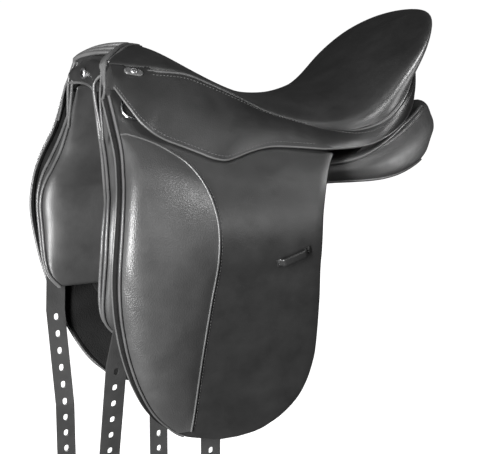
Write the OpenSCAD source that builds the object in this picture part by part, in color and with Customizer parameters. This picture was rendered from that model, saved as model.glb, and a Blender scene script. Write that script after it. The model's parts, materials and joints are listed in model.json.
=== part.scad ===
// Dressage saddle: tree, padded seat, panels, lifting skirts and flaps, girth billets and metal fittings.
// Front is -X, the rider's left is -Y, up is +Z.
// Zero height is where the panels bear on the horse's back at mid saddle.

/* [Side profile] */
// Half width of the flap plane at its reference line
side_top_y = 92; // [88:0.5:96]
// Height of the flap plane at its reference line
side_top_z = 112; // [108:0.5:116]
// Slope of the upper flap, outward from the vertical
side_slope = 40; // [38:0.5:42]
// Length of the flat upper part of the flap below the reference line
side_flat = 95; // [92:0.5:98]
// Radius of the bend round the barrel
side_bend_r = 120; // [112:1:128]
// Slope of the lower flap, inward from the vertical
side_tuck = 15; // [13:0.5:17]

/* [Leather and layers] */
// Thickness of the flap leather
flap_t = 4.5; // [3.5:0.1:5]
// Thickness of the flap lining
lining_t = 3.5; // [2.5:0.1:4]
// Depth of the rolled front edge below the flap
edge_roll_depth = 17; // [13:0.5:17.2]
// Width of the rolled front edge
edge_roll_w = 11; // [8:0.5:13]
// Depth of the billets' outer face below the flap
billet_depth = 17.6; // [17.5:0.1:18]
// Thickness of a billet
billet_t = 3.6; // [3:0.1:4]
// Depth of the sweat flap's outer face below the flap
sweat_depth = 27.2; // [26.8:0.1:27.4]
// Thickness of the sweat flap
sweat_t = 2.4; // [1.8:0.1:2.6]
// Depth of the panel's outer face below the flap
panel_depth = 30; // [29:0.5:32]
// Thickness of the panel at the rider's knee
panel_t = 35; // [28:0.5:36]
// Thickness of the skirt leather
skirt_t = 3.6; // [3:0.1:4]
// Gap left between soft layers that rest on each other
layer_gap = 0.5; // [0.3:0.05:0.6]

/* [Hinge line of flap and skirt] */
// Front end of the hinge line along the saddle
hinge_x = -190; // [-192:0.5:-188]
// Front end of the hinge line, down the flap plane
hinge_down = -31; // [-33:0.5:-29]
// Angle of the hinge line in the flap plane, falling to the rear
hinge_fall = 23.33; // [22.5:0.1:24]
// Height of the hinge line above the flap's face
hinge_out = 5.3; // [5:0.1:5.6]

/* [Seat] */
// Thickness of the seat leather
seat_leather_t = 2.4; // [1.8:0.1:3]
// Thickness of the seat foam
seat_foam_t = 16; // [12:0.5:18]
// Radius of the piping along the seat's edge
welt_r = 2.2; // [1.6:0.1:2.4]

/* [Knee pad] */
// Height of the knee pad's crown above the flap
knee_crown = 13; // [8:0.5:18]
// Height of the knee pad at its seams
knee_edge = 1.6; // [1.2:0.1:2.5]

/* [Panels] */
// Half width of the gullet channel between the panels
gullet_half = 33; // [30:0.5:36]
// Half width of the panels at their widest
panel_half = 128; // [125:0.5:129]

/* [Girth billets] */
// Width of a billet
billet_w = 25; // [22:0.5:27]
// Height of the billet tips
billet_tip_z = -446; // [-452:1:-440]
// Distance between billet holes
hole_pitch = 22; // [20:0.5:23]
// Width of a billet hole
hole_w = 6.5; // [5:0.1:7]
// Length of a billet hole
hole_len = 9; // [8:0.1:10]
// Number of holes in the hanging end of a billet
hole_count = 5; // [3:1:5]
// Height of the lowest billet hole
hole_low_z = -414; // [-418:0.5:-410]
// Height at which a billet leaves the flap and hangs straight
billet_bend_z = -308; // [-312:1:-304]
// Place of the front billet's pivot along the saddle
front_pivot_x = -174; // [-177:0.5:-171]
// Place of the front billet's hanging end along the saddle
front_billet_x = -208; // [-211:0.5:-205]
// Place of the rear billet along the saddle
rear_billet_x = -75; // [-79:0.5:-71]
// Radius of a billet rivet
rivet_r = 3; // [2.5:0.1:3.5]
// Clearance of a billet's bore round its rivet
rivet_play = 0.25; // [0.15:0.05:0.4]

/* [Stirrup bars] */
// Front of the stirrup bar along the saddle
bar_x = -146; // [-148:0.5:-144]
// Length of the stirrup bar
bar_len = 62; // [58:0.5:64]
// Place of the stirrup bar down the flap plane
bar_down = 12; // [10:0.5:13]
// Radius of the stirrup bar
bar_r = 3.8; // [3.2:0.1:4]
// Height of the stirrup bar's axis above the flap's face
bar_out = -1.4; // [-1.8:0.1:-1.2]
// Length of the safety catch
catch_len = 15; // [12:0.5:16]
// Radius of the catch's pin
catch_pin_r = 1.5; // [1.2:0.1:1.8]
// Clearance of the catch round its pin
catch_play = 0.15; // [0.1:0.05:0.25]

/* [Rings and studs] */
// Radius of the dee ring's bow, to the middle of the wire
dee_r = 14; // [12:0.5:15]
// Radius of the dee ring's wire
dee_wire_r = 1.75; // [1.5:0.05:2]
// Thickness of the dee ring's leather chape
chape_t = 1.6; // [1.2:0.1:1.8]
// Radius of the head stud's ring
stud_ring_r = 6.8; // [6:0.1:7.5]
// Radius of the skirt button
button_r = 4.2; // [3.5:0.1:4.6]
// Length of the skirt button's leather patch
patch_len = 23; // [20:0.5:25]
// Width of the skirt button's leather patch
patch_w = 11; // [10:0.5:12]
// Inner length of the stirrup leather keeper
keeper_len = 30; // [27:0.5:32]
// Width of the stirrup leather keeper
keeper_w = 12; // [10:0.5:14]
// Inner height of the stirrup leather keeper
keeper_gap = 4.6; // [4.4:0.1:6]
// Thickness of the keeper's leather
keeper_t = 2; // [1.5:0.1:2.5]

/* [Hidden] */
$fn = 48;
leather = [0.09, 0.09, 0.10];
grain_leather = [0.20, 0.20, 0.21];
suede = [0.13, 0.13, 0.14];
steel = [0.72, 0.73, 0.75];
plate_steel = [0.45, 0.46, 0.48];
beech = [0.76, 0.60, 0.42];
foam_colour = [0.86, 0.80, 0.62];
web_colour = [0.80, 0.76, 0.66];
edge = 0.01;

// Curves through points
function at(p, i) = p[min(max(i, 0), len(p) - 1)];
function spline(p, s) = let (i = min(max(floor(s), 0), len(p) - 2), f = s - i,
    a = at(p, i - 1), b = at(p, i), c = at(p, i + 1), d = at(p, i + 2))
    0.5 * (2 * b + (c - a) * f + (2 * a - 5 * b + 4 * c - d) * f * f + (3 * b - a - 3 * c + d) * f * f * f);
function span(k, v, i = 0) = i >= len(k) - 2 || v < k[i + 1][0] ? i : span(k, v, i + 1);
function rate(k, i) = let (a = at(k, i - 1), b = at(k, i + 1)) (b[1] - a[1]) / (b[0] - a[0]);
function keyed(k, v) = let (i = span(k, v), h = k[i + 1][0] - k[i][0],
    f = min(max((v - k[i][0]) / h, 0), 1), g = 1 - f)
    k[i][1] * (1 + 2 * f) * g * g + k[i + 1][1] * (3 - 2 * f) * f * f
    + h * f * g * (rate(k, i) * g - rate(k, i + 1) * f);
function mix(a, b, f) = a + (b - a) * f;
function steps(a, b, n) = [for (i = [0:n]) mix(a, b, i / n)];
function unit(v) = v / norm(v);
function flip(v) = [v.x, -v.y, v.z];
function reversed(l) = [for (i = [len(l) - 1:-1:0]) l[i]];

// The flap's side profile: a plane, a bend and a plane, in the distance t down from the reference line
bend_angle = side_slope + side_tuck;
bend_len = side_bend_r * bend_angle * PI / 180;
side_bend_y = side_top_y + side_flat * sin(side_slope);
side_bend_z = side_top_z - side_flat * cos(side_slope);
side_low_y = side_bend_y + side_bend_r * (cos(side_tuck) - cos(side_slope));
side_low_z = side_bend_z - side_bend_r * (sin(side_slope) + sin(side_tuck));
function side_angle(t) = t <= side_flat ? side_slope
    : t >= side_flat + bend_len ? -side_tuck
    : side_slope - (t - side_flat) / side_bend_r * 180 / PI;
function side_line(t) = t <= side_flat
    ? [side_top_y + t * sin(side_slope), side_top_z - t * cos(side_slope)]
    : t >= side_flat + bend_len ? let (u = t - side_flat - bend_len)
        [side_low_y - u * sin(side_tuck), side_low_z - u * cos(side_tuck)]
    : let (a = side_angle(t)) [side_bend_y + side_bend_r * (cos(a) - cos(side_slope)),
        side_bend_z - side_bend_r * (sin(side_slope) - sin(a))];
function side(x, t, d) = let (p = side_line(t), a = side_angle(t)) [x, p.x + d * cos(a), p.y + d * sin(a)];
bend_rows = [for (i = [0:6]) side_flat + bend_len * i / 6];
low_start = side_flat + bend_len;

// The hinge line lies in the flap plane's own directions: along it, down the flap, and out from the flap
hinge_start = side(hinge_x, hinge_down, hinge_out);
hinge_along = [cos(hinge_fall), sin(hinge_fall) * sin(side_slope), -sin(hinge_fall) * cos(side_slope)];
hinge_drop = [-sin(hinge_fall), cos(hinge_fall) * sin(side_slope), -cos(hinge_fall) * cos(side_slope)];
plane_out = [0, cos(side_slope), sin(side_slope)];
function hinged(along, drop, out) = hinge_start + along * hinge_along + drop * hinge_drop + out * plane_out;
function hinge_x_at(t, drop) = hinge_x + ((t - hinge_down) * cos(hinge_fall) - drop) / sin(hinge_fall);

// Closed solids from grids of points. The faces are turned outward by the sign of the volume.
function turned(p, f) = let (v = [for (t = f) p[t[0]] * cross(p[t[1]], p[t[2]])],
    total = v * [for (t = f) 1]) total < 0 ? f : [for (t = f) [t[0], t[2], t[1]]];
module solid(p, f) polyhedron(p, turned(p, f), convexity = 8);
function quad(a, b, c, d) = [[a, b, c], [a, c, d]];
function joined(l) = [for (a = l) each a];
module slab(top, under) {
    n = len(top);
    m = len(top[0]);
    k = n * m;
    faces = joined([
        for (r = [0:n - 2], c = [0:m - 2]) let (a = r * m + c) quad(a, a + 1, a + m + 1, a + m),
        for (r = [0:n - 2], c = [0:m - 2]) let (a = k + r * m + c) quad(a, a + m, a + m + 1, a + 1),
        for (r = [0:n - 2]) let (a = r * m) quad(a, a + m, a + m + k, a + k),
        for (r = [0:n - 2]) let (a = r * m + m - 1) quad(a, a + k, a + m + k, a + m),
        for (c = [0:m - 2]) quad(c, c + k, c + 1 + k, c + 1),
        for (c = [0:m - 2]) let (a = (n - 1) * m + c) quad(a, a + 1, a + 1 + k, a + k)
    ]);
    solid(joined([for (r = top) r, for (r = under) r]), faces);
}
// A slab whose last row folds shut on the middle plane, so that its two sides meet at the rear
module closed_slab(top, under) {
    n = len(top);
    m = len(top[0]);
    h = (m - 1) / 2;
    k = (n - 1) * m + h + 1;
    function at_row(r, c) = r < n - 1 ? r * m + c : (n - 1) * m + min(c, m - 1 - c);
    function row_points(g) = joined([for (r = [0:n - 1]) [for (c = [0:r < n - 1 ? m - 1 : h]) g[r][c]]]);
    faces = joined([
        for (r = [0:n - 2], c = [0:m - 2])
            quad(at_row(r, c), at_row(r, c + 1), at_row(r + 1, c + 1), at_row(r + 1, c)),
        for (r = [0:n - 2], c = [0:m - 2])
            quad(k + at_row(r, c), k + at_row(r + 1, c), k + at_row(r + 1, c + 1), k + at_row(r, c + 1)),
        for (r = [0:n - 2]) quad(at_row(r, 0), at_row(r + 1, 0), k + at_row(r + 1, 0), k + at_row(r, 0)),
        for (r = [0:n - 2])
            quad(at_row(r, m - 1), k + at_row(r, m - 1), k + at_row(r + 1, m - 1), at_row(r + 1, m - 1)),
        for (c = [0:m - 2]) quad(c, c + k, c + 1 + k, c + 1)
    ]);
    solid(concat(row_points(top), row_points(under)), faces);
}
// A closed skin through rings of points, capped at both ends
module loft(rings) {
    n = len(rings);
    m = len(rings[0]);
    middles = [for (r = [rings[0], rings[n - 1]]) [for (p = r) 1] * r / m];
    faces = joined([
        for (r = [0:n - 2], c = [0:m - 1]) let (a = r * m + c, b = r * m + (c + 1) % m)
            quad(a, b, b + m, a + m),
        [for (c = [0:m - 1]) [n * m, (c + 1) % m, c]],
        [for (c = [0:m - 1]) let (e = (n - 1) * m) [n * m + 1, e + c, e + (c + 1) % m]]
    ]);
    solid(concat(joined(rings), middles), faces);
}
// A round piping of a few flats along a path
module piping(path, r, sides = 6) {
    n = len(path);
    loft([for (i = [0:n - 1]) let (t = unit(at(path, i + 1) - at(path, i - 1)),
        u = unit(cross(t, [0, 0, 1])), v = cross(u, t))
        [for (k = [0:sides - 1]) path[i] + r * (cos(k * 360 / sides) * u + sin(k * 360 / sides) * v)]]);
}
module on(side) if (side == "left") mirror([0, 1, 0]) children(); else children();
// Local directions on the flap's side: along the saddle, down the flap, out from the flap
module on_side(x, t, d) {
    p = side(x, t, d);
    a = side_angle(t);
    multmatrix([[1, 0, 0, p.x], [0, sin(a), cos(a), p.y], [0, -cos(a), sin(a), p.z]]) children();
}
module in_hinge(along, drop, out) {
    p = hinged(along, drop, out);
    multmatrix([
        [hinge_along.x, hinge_drop.x, plane_out.x, p.x],
        [hinge_along.y, hinge_drop.y, plane_out.y, p.y],
        [hinge_along.z, hinge_drop.z, plane_out.z, p.z]]) children();
}

// The seat: its piped edge, its rim and its middle line, from the pommel to the cantle
welt_line = [[-186, 58, 157], [-158, 62, 153], [-125, 66, 150], [-95, 68, 146], [-67, 72, 134],
    [-36, 76, 118], [4, 86, 95], [37, 95, 83], [68, 106, 75], [106, 119, 73], [147, 122, 84],
    [176, 113, 104], [200, 94, 127], [221, 64, 147], [237, 33, 159], [243, 0, 163]];
rim_line = [[-186, 52, 163], [-158, 56, 160], [-125, 60, 156], [-95, 62, 149], [-67, 65, 137.5],
    [-36, 69, 122], [4, 79, 101], [37, 88, 91], [68, 99, 85], [106, 113, 88], [143, 119, 108],
    [178, 119, 144], [212, 106, 175], [240, 76, 196], [260, 40, 206], [268, 0, 208]];
middle_x = [-186, -158, -125, -95, -67, -36, 4, 37, 66, 98, 126, 152, 178, 203, 223, 240];
middle_z = [170, 178, 175, 161, 144, 127, 112, 108.5, 110.5, 119, 131, 146, 162, 178, 190, 198];
seat_end = len(welt_line) - 1;
rim_share = 0.8;
rim_bulge = 0.3;
// A point of the seat's face: station s along the seat, q from the middle (0) over the rim to the welt (1)
rim_turn = 0.62;
rear_rim_x = 100;
function seat_edge_turn(r, w, x) = let (o = unit([r.x - x, r.y, 0]), b = rim_bulge * (r.z - w.z),
    back = r.x > rear_rim_x ? max(r.x, w.x) + o.x * b : (r.x + w.x) / 2)
    [back, max(r.y, w.y) + o.y * b / 2, mix(w.z, r.z, rim_turn)];
function seat(s, q) = let (w = spline(welt_line, s), r = spline(rim_line, s),
    x = spline(middle_x, s), z = spline(middle_z, s))
    q <= rim_share ? let (f = q / rim_share) [mix(x, r.x, f), r.y * f, mix(z, r.z, f * f)]
    : let (f = (q - rim_share) / (1 - rim_share), g = 1 - f, c = seat_edge_turn(r, w, x))
        g * g * r + 2 * f * g * c + f * f * w;
function seat_normal(s, q) = let (s0 = max(s - 0.05, 0), s1 = min(s + 0.05, seat_end),
    q0 = max(q - 0.02, 0), q1 = min(q + 0.02, 1))
    unit(cross(seat(s1, q) - seat(s0, q), seat(s, q1) - seat(s, q0)));
// A face lies on the middle plane where both ends of the seat's grid meet
function on_middle(p, q, s) = q == 0 || s == seat_end ? [p.x, 0, p.z] : p;
function seat_at(s, q, depth) = let (v = abs(q), p = seat(s, v) - depth * seat_normal(s, v))
    q < 0 ? flip(on_middle(p, v, s)) : on_middle(p, v, s);

cover_s = concat([0.5], steps(1, 8, 10), steps(8.75, seat_end, 10));
cover_q = [0, 0.16, 0.34, 0.52, 0.68, 0.8, 0.88, 0.95, 0.985];
foam_share = 0.85 * rim_share;
foam_q = [0, 0.16, 0.34, 0.52, foam_share];
function both_sides(q) = concat([for (i = [len(q) - 1:-1:1]) -q[i]], q);
foam_top = seat_leather_t + layer_gap;
foam_edge_t = 6;
foam_tip = foam_top + 2;
foam_under = foam_top + seat_foam_t;
function foam_depth(q) = mix(foam_under, foam_top + foam_edge_t, pow(min(1, abs(q) / foam_share), 3));

module seat_cover() color(leather) closed_slab(
    [for (s = cover_s) [for (q = both_sides(cover_q)) seat_at(s, q, 0)]],
    [for (s = cover_s) [for (q = both_sides(cover_q)) seat_at(s, q, seat_leather_t)]]);
foam_s = [for (i = [1:len(cover_s) - 1]) cover_s[i]];
module seat_foam() color(foam_colour) closed_slab(
    [for (s = foam_s) [for (q = both_sides(foam_q)) seat_at(s, q, foam_top)]],
    [for (s = foam_s) [for (q = both_sides(foam_q)) seat_at(s, q, s < seat_end ? foam_depth(q) : foam_tip)]]);
welt_gap = 1.2;
welt_s = concat(steps(1.5, 13.5, 26), [14.2]);
function welt_at(s) = let (w = spline(welt_line, s)) w + (welt_r + welt_gap) * unit(sheet_edge(s) - w);
module seat_welt() color(leather) {
    half = [for (s = welt_s) welt_at(s)];
    piping(concat([for (p = half) flip(p)], [welt_at(seat_end)], reversed(half)), welt_r);
}

// The skirt is one domed sheet from the welt to its lower edge. Above the hinge line it is the fixed head,
// which runs on as a strip round the cantle. Below the hinge line it is the skirt that lifts.
head_along = [4, 25, 54, 84, 113, 147, 194, 230, 266];
last_along = len(head_along) - 1;
strip_rear = [[108, 139, 55], [142, 134, 63], [175, 120, 78], [200, 99, 96], [221, 69, 113],
    [236, 35, 125.5], [242, 0, 130.5]];
skirt_drop = [[0, 0.5], [11, 16], [26, 33], [42, 46.5], [64, 54], [98, 57], [118, 59], [134, 60.5], [149, 58],
    [160, 50], [172, 39.5], [186, 29], [200, 21], [216, 15.5], [236, 10.5], [260, 5], [284, -1]];
skirt_play = 0.8;
skirt_rest = skirt_play + skirt_t / 2 - hinge_out;
skirt_edge_out = [[0, 0], [12, 4], [30, 6], [48, 3.5], [62, 0], [80, skirt_rest + 0.3], [120, skirt_rest],
    [180, skirt_rest], [215, -2.4], [250, -0.8], [284, 0]];
sheet_swell = [[0, 1.8], [1, 1.8], [2, 3], [3, 4], [4, 5.5], [5, 9.5], [6, 10.5], [7, 9], [8, 6], [9, 3.5],
    [10, 2.5], [15, 2.5]];
function hinge_place(p) = let (v = p - hinge_start) [v * hinge_along, v * hinge_drop, v * plane_out];
function lifting_edge(a) = hinged(a, keyed(skirt_drop, a), keyed(skirt_edge_out, a));
edge_line = concat([for (a = head_along) lifting_edge(a)], strip_rear);
function sheet_edge(s) = s < last_along ? lifting_edge(spline(head_along, s)) : spline(edge_line, s);
function sheet_mid(s, f) = let (w = spline(welt_line, s), e = sheet_edge(s),
    t = spline(welt_line, min(s + 0.1, seat_end)) - spline(welt_line, max(s - 0.1, 0)))
    mix(w, e, f) + 4 * keyed(sheet_swell, s) * f * (1 - f) * unit(cross(t, e - w));
function sheet_normal(s, f) = let (s0 = max(s - 0.05, 0), s1 = min(s + 0.05, seat_end),
    f0 = max(f - 0.05, 0), f1 = min(f + 0.05, 1))
    unit(cross(sheet_mid(s1, f) - sheet_mid(s0, f), sheet_mid(s, f1) - sheet_mid(s, f0)));
function sheet_at(s, f, d) = let (p = sheet_mid(s, f) + d * sheet_normal(s, f))
    s == seat_end ? [p.x, edge, p.z] : p;
// The share of the sheet's width at which it lies a given distance below the hinge line
function sheet_share(s, drop) = let (w = hinge_place(spline(welt_line, s)), e = hinge_place(sheet_edge(s)))
    min(1, (drop - w.y) / (e.y - w.y));
head_gap = 0.5;
skirt_start = 0.4;
head_start = 2 * welt_r + welt_gap + layer_gap + 0.3;
function head_share(s, g) = let (top = head_start / norm(sheet_edge(s) - spline(welt_line, s)))
    mix(top, sheet_share(s, -head_gap), g);
function head_at(s, g, d) = sheet_at(s, head_share(s, g), d);
head_s = steps(0, seat_end, 44);
head_g = [0, 0.35, 0.7, 1];
module skirt_head(side) on(side) color(leather) slab(
    [for (s = head_s) [for (g = head_g) head_at(s, g, skirt_t / 2)]],
    [for (s = head_s) [for (g = head_g) head_at(s, g, -skirt_t / 2)]]);
function skirt_at(s, g, d) = sheet_at(s, mix(sheet_share(s, skirt_start), 1, g), d);
skirt_s = concat(steps(0.05, 2.4, 9), steps(2.8, 6.4, 11), [6.9, 7.4, 7.9]);
skirt_g = steps(0, 1, 6);
module skirt(side) on(side) color(leather) slab(
    [for (s = skirt_s) [for (g = skirt_g) skirt_at(s, g, skirt_t / 2)]],
    [for (s = skirt_s) [for (g = skirt_g) skirt_at(s, g, -skirt_t / 2)]]);

// The flap's nailed head under the skirt's head, cut away round the stirrup bar
bar_cut_x = bar_x - 5;
bar_cut_len = bar_len + 30;
bar_cut_down = bar_down + 14;
bar_cut_up = 60;
bar_cut_deep = 26;
module bar_cut() on_side(bar_cut_x, bar_cut_down - bar_cut_up, -bar_cut_deep / 2)
    cube([bar_cut_len, bar_cut_up, bar_cut_deep]);
flap_head_out = -skirt_t / 2 - layer_gap;
flap_head_t = 3;
flap_head_s = steps(0.4, 7.6, 20);
flap_head_g = [0.3, 0.65, 1];
module flap_head(side) on(side) color(leather) difference() {
    slab([for (s = flap_head_s) [for (g = flap_head_g) head_at(s, g, flap_head_out)]],
        [for (s = flap_head_s) [for (g = flap_head_g) head_at(s, g, flap_head_out - flap_head_t)]]);
    bar_cut();
}

// The flap's outline: front and rear edge at each distance down the side
flap_front = [[-31, -197], [16, -198], [59, -200], [94, -206], [150, -217], [199, -221.5], [253, -217],
    [299, -207.5], [331, -198], [364, -185], [399, -166], [422, -146], [442, -119], [455, -72]];
flap_rear = [[82, 66], [97, 56], [128, 43], [163, 35], [214, 35], [269, 41], [341, 46], [368, 44], [391, 39],
    [411, 30], [430, 14], [442, -2.5], [451, -22], [455, -48]];
flap_bottom = 455;
flap_top = 0.6;
flap_corner = 82;
function flap_rear_x(t) = t < flap_corner ? hinge_x_at(t, flap_top) - 0.5 : keyed(flap_rear, t);
flap_curve = flap_bottom - 59;
flap_rows = concat(steps(-28, flap_corner - 1, 6), [side_flat - 6], bend_rows,
    steps(low_start + 18, flap_curve, 8), steps(flap_curve + 12, flap_bottom - 7, 5),
    [flap_bottom - 3, flap_bottom]);
module side_sheet(rows, front, rear, out, t) slab(
    [for (r = rows) [side(front[r[0]], r[1], out), side(rear[r[0]], r[1], out)]],
    [for (r = rows) [side(front[r[0]], r[1], out - t), side(rear[r[0]], r[1], out - t)]]);
function numbered(rows) = [for (i = [0:len(rows) - 1]) [i, rows[i]]];
module flap(side) on(side) color(leather) difference() {
    side_sheet(numbered(flap_rows), [for (t = flap_rows) keyed(flap_front, t)],
        [for (t = flap_rows) flap_rear_x(t)], 0, flap_t);
    bar_cut();
}

// The lining under the flap, with the rolled front edge
lining_out = -flap_t - layer_gap;
lining_in = 3;
lining_rows = concat(steps(-20, flap_corner - 1, 6), [side_flat - 6], bend_rows,
    steps(low_start + 18, flap_curve, 8), steps(flap_curve + 12, flap_bottom - 11, 5));
roll_depth = [[-31, edge_roll_depth], [210, edge_roll_depth], [250, 14], [290, 8.6], [455, 8.6]];
lining_under = lining_out - lining_t;
roll_round = [0.86, 1, 0.86, 0, 0];
function lining_depth(t, c) = mix(lining_under, min(-keyed(roll_depth, t), lining_under), roll_round[c]);
function lining_x(t, c) = let (a = keyed(flap_front, t) + lining_in, b = flap_rear_x(t) - lining_in - 1,
    w = min(edge_roll_w, (b - a) * 0.6))
    concat([for (k = [0, 0.4, 0.85, 1]) a + w * k], [b])[c];
module flap_lining(side) on(side) color(suede) difference() {
    slab([for (t = lining_rows) [for (c = [0:4]) side(lining_x(t, c), t, lining_out)]],
        [for (t = lining_rows) [for (c = [0:4]) side(lining_x(t, c), t, lining_depth(t, c))]]);
    bar_cut();
}

// The knee pad: a crowned cushion on the flap, bounded by the flap's front edge and a sewn seam
knee_seam = [[36, -190], [44, -172], [53, -156], [65, -141], [80, -126], [98, -116], [118, -109], [140, -104],
    [161, -101.5], [209, -102], [251, -105], [332, -109], [411, -111.5], [437, -113]];
knee_in = 4;
knee_top = 38;
knee_bottom = 434;
knee_rows = concat([knee_top, 44, 52, 62, 74, side_flat - 7], bend_rows,
    steps(low_start + 22, knee_bottom - 32, 7), [knee_bottom - 16, knee_bottom - 6, knee_bottom]);
knee_cols = [0, 0.05, 0.14, 0.28, 0.45, 0.65, 0.85, 1];
knee_top_run = 60;
knee_low_run = 130;
function knee_rise(t, c) = let (down = min(1, (t - knee_top) / knee_top_run),
    up = min(1, (knee_bottom - t) / knee_low_run),
    ends = sin(90 * down) * sin(90 * up), across = pow(sin(180 * pow(c, 0.55)), 0.8))
    knee_edge + knee_crown * ends * across;
function knee_x(t, c) = mix(keyed(flap_front, t) + knee_in, keyed(knee_seam, t), c);
module knee_pad(side) on(side) color(grain_leather) slab(
    [for (t = knee_rows) [for (c = knee_cols) side(knee_x(t, c), t, layer_gap + knee_rise(t, c))]],
    [for (t = knee_rows) [for (c = knee_cols) side(knee_x(t, c), t, layer_gap)]]);

// The stirrup leather's keeper: a low bridge of leather on the flap
keeper_x = -4.5;
keeper_down = 204;
keeper_tilt = -15;
keeper_foot = 5;
module keeper(side) on(side) color(leather) {
    total = keeper_len + 2 * (keeper_t + keeper_foot);
    on_side(keeper_x, keeper_down, layer_gap) rotate([0, 0, keeper_tilt]) rotate([90, 0, 0])
        linear_extrude(keeper_w, center = true) difference() {
        union() {
            translate([-total / 2, 0]) square([total, keeper_t]);
            translate([-keeper_len / 2 - keeper_t, 0])
                square([keeper_len + 2 * keeper_t, keeper_gap + keeper_t]);
        }
        translate([-keeper_len / 2, -1]) square([keeper_len, keeper_gap + 1]);
    }
}

// The sweat flap between billets and panel
sweat_front = [[62, -160], [120, -164], [210, -166], [300, -158], [336, -140]];
sweat_rear = [[62, -6], [120, 2], [210, 10], [300, 8], [336, -14]];
sweat_rows = concat([62, side_flat - 10], bend_rows, [238, 266, 294, 312, 326, 334]);
module sweat_flap(side) on(side) color(suede) side_sheet(numbered(sweat_rows),
    [for (t = sweat_rows) keyed(sweat_front, t)], [for (t = sweat_rows) keyed(sweat_rear, t)],
    -sweat_depth, sweat_t);

// The front of the panel hangs down the side under the flap
panel_front = [[-24, -199], [44, -204], [125, -217], [170, -222], [230, -223], [270, -222], [290, -217],
    [306, -204]];
panel_back = [[-24, -66], [60, -64], [125, -60], [200, -62], [260, -72], [290, -86], [306, -110]];
panel_start = -24;
panel_end = 306;
panel_rows = concat([panel_start, -10, 10, 35, 62, side_flat - 10], bend_rows,
    [232, 254, 274, 290, 300, panel_end]);
panel_cols = [0, 0.05, 0.15, 0.35, 0.6, 0.82, 0.95, 1];
panel_top_run = 80;
panel_low_run = 90;
function panel_edge(c, first, second, rest) = c == 0 || c == 1 ? first : c < 0.1 || c > 0.9 ? second : rest;
function panel_thick(t, c) = let (top = mix(0.35, 1, min(1, (t - panel_start) / panel_top_run)),
    low = mix(0.4, 1, sin(90 * min(1, max(0, panel_end - t) / panel_low_run))))
    panel_t * top * low * panel_edge(c, 0.42, 0.78, 1);
function panel_lift(c) = panel_edge(c, 8, 3, 0);
function panel_x(t, c) = mix(keyed(panel_front, t), keyed(panel_back, t), c);
module panel_flap(side) on(side) color(leather) slab(
    [for (t = panel_rows) [for (c = panel_cols) side(panel_x(t, c), t, -panel_depth - panel_lift(c))]],
    [for (t = panel_rows) [for (c = panel_cols)
        side(panel_x(t, c), t, -panel_depth - panel_lift(c) - panel_thick(t, c))]]);

// The bearing part of the panel under the seat: crowned, drawn in at the gusset seams, rising at the rear
panel_in_low = [[-60, 44], [-20, 24], [30, 8], [80, 3], [150, 0], [200, 8], [235, 22], [256, 42]];
panel_out_low = [[-60, 6], [-20, 4], [30, 4], [80, 4], [150, 2], [200, 10], [235, 24], [256, 44]];
panel_top = [[-60, 74], [-20, 56], [30, 42], [80, 42], [118, 47], [165, 64], [200, 80], [235, 94],
    [256, 76]];
panel_wide_max = 128;
panel_wide = [[-60, 78], [-20, 92], [30, 112], [80, 126], [118, panel_wide_max], [165, 117], [200, 100],
    [235, 76], [256, 54]];
panel_belly = 9;
gusset_tuck = 5;
function panel_ring(x) = let (zi = keyed(panel_in_low, x), zo = keyed(panel_out_low, x),
    zt = keyed(panel_top, x), w = keyed(panel_wide, x) + panel_half - panel_wide_max, g = gullet_half)
    [for (p = [
        [g + 4, zt], [g, mix(zi, zt, 0.55)], [g + 3, zi + 4],
        [mix(g, w, 0.25), mix(zi, zo, 0.25) - panel_belly * 0.6],
        [mix(g, w, 0.5), mix(zi, zo, 0.5) - panel_belly],
        [mix(g, w, 0.75), mix(zi, zo, 0.75) - panel_belly * 0.7],
        [w - 3, zo + 1], [w + 2, mix(zo, zt, 0.3)], [w - gusset_tuck, mix(zo, zt, 0.55)],
        [w + 1, mix(zo, zt, 0.78)], [w - 9, zt]]) [x, p.x, p.y]];
panel_x_rows = concat([-57], steps(-44, 216, 13), [230, 242, 250, 256]);
module panel(side) on(side) color(leather) loft([for (x = panel_x_rows) panel_ring(x)]);

// Bridges of leather that join the two panels at the front arch and at the rear
bridge_t = 3;
front_bridge_x = -186;
front_bridge_w = 26;
front_bridge_leg = 2;
rear_bridge_x = 150;
rear_bridge_len = 44;
rear_bridge_w = 2 * gullet_half + 0.4;
rear_bridge_z = 50;
module panel_front_bridge() color(leather) translate([front_bridge_x, 0, arch_z]) rotate([90, 0, 90])
    linear_extrude(front_bridge_w) arch_band(plate_in - layer_gap, bridge_t, front_bridge_leg);
module panel_rear_bridge() color(leather) translate([rear_bridge_x, -rear_bridge_w / 2, rear_bridge_z])
    cube([rear_bridge_len, rear_bridge_w, bridge_t]);

// The steel gullet plate and the wooden head above it: an arch with straight points along the flap plane
arch_z = 71;
plate_out = -25.5;
plate_t = 3.5;
plate_in = plate_out - plate_t;
head_in = plate_out + 0.5;
head_out = -13.5;
function arch_r(d) = side_top_y * cos(side_slope) + (side_top_z - arch_z) * sin(side_slope) + d;
arch_steps = 20;
function arch_side(r, leg, k) = [k * (r * cos(side_slope) + leg * sin(side_slope)),
    r * sin(side_slope) - leg * cos(side_slope)];
function arch_outline(r, leg) = concat([arch_side(r, leg, 1)],
    [for (a = steps(side_slope, 180 - side_slope, arch_steps)) [r * cos(a), r * sin(a)]],
    [arch_side(r, leg, -1)]);
module arch_band(out, t, leg)
    polygon(concat(arch_outline(arch_r(out), leg), reversed(arch_outline(arch_r(out) - t, leg))));
head_x = -174;
head_w = 28;
plate_w = 24;
point_leg = 86;
head_leg = 30;
module arch(out, t, leg, w) difference() {
    translate([head_x, 0, arch_z]) rotate([90, 0, 90]) linear_extrude(w) arch_band(out, t, leg);
    tree_rivet_pair(1);
}
tree_rivet_x = head_x + 12;
tree_rivet_down = -12;
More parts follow.
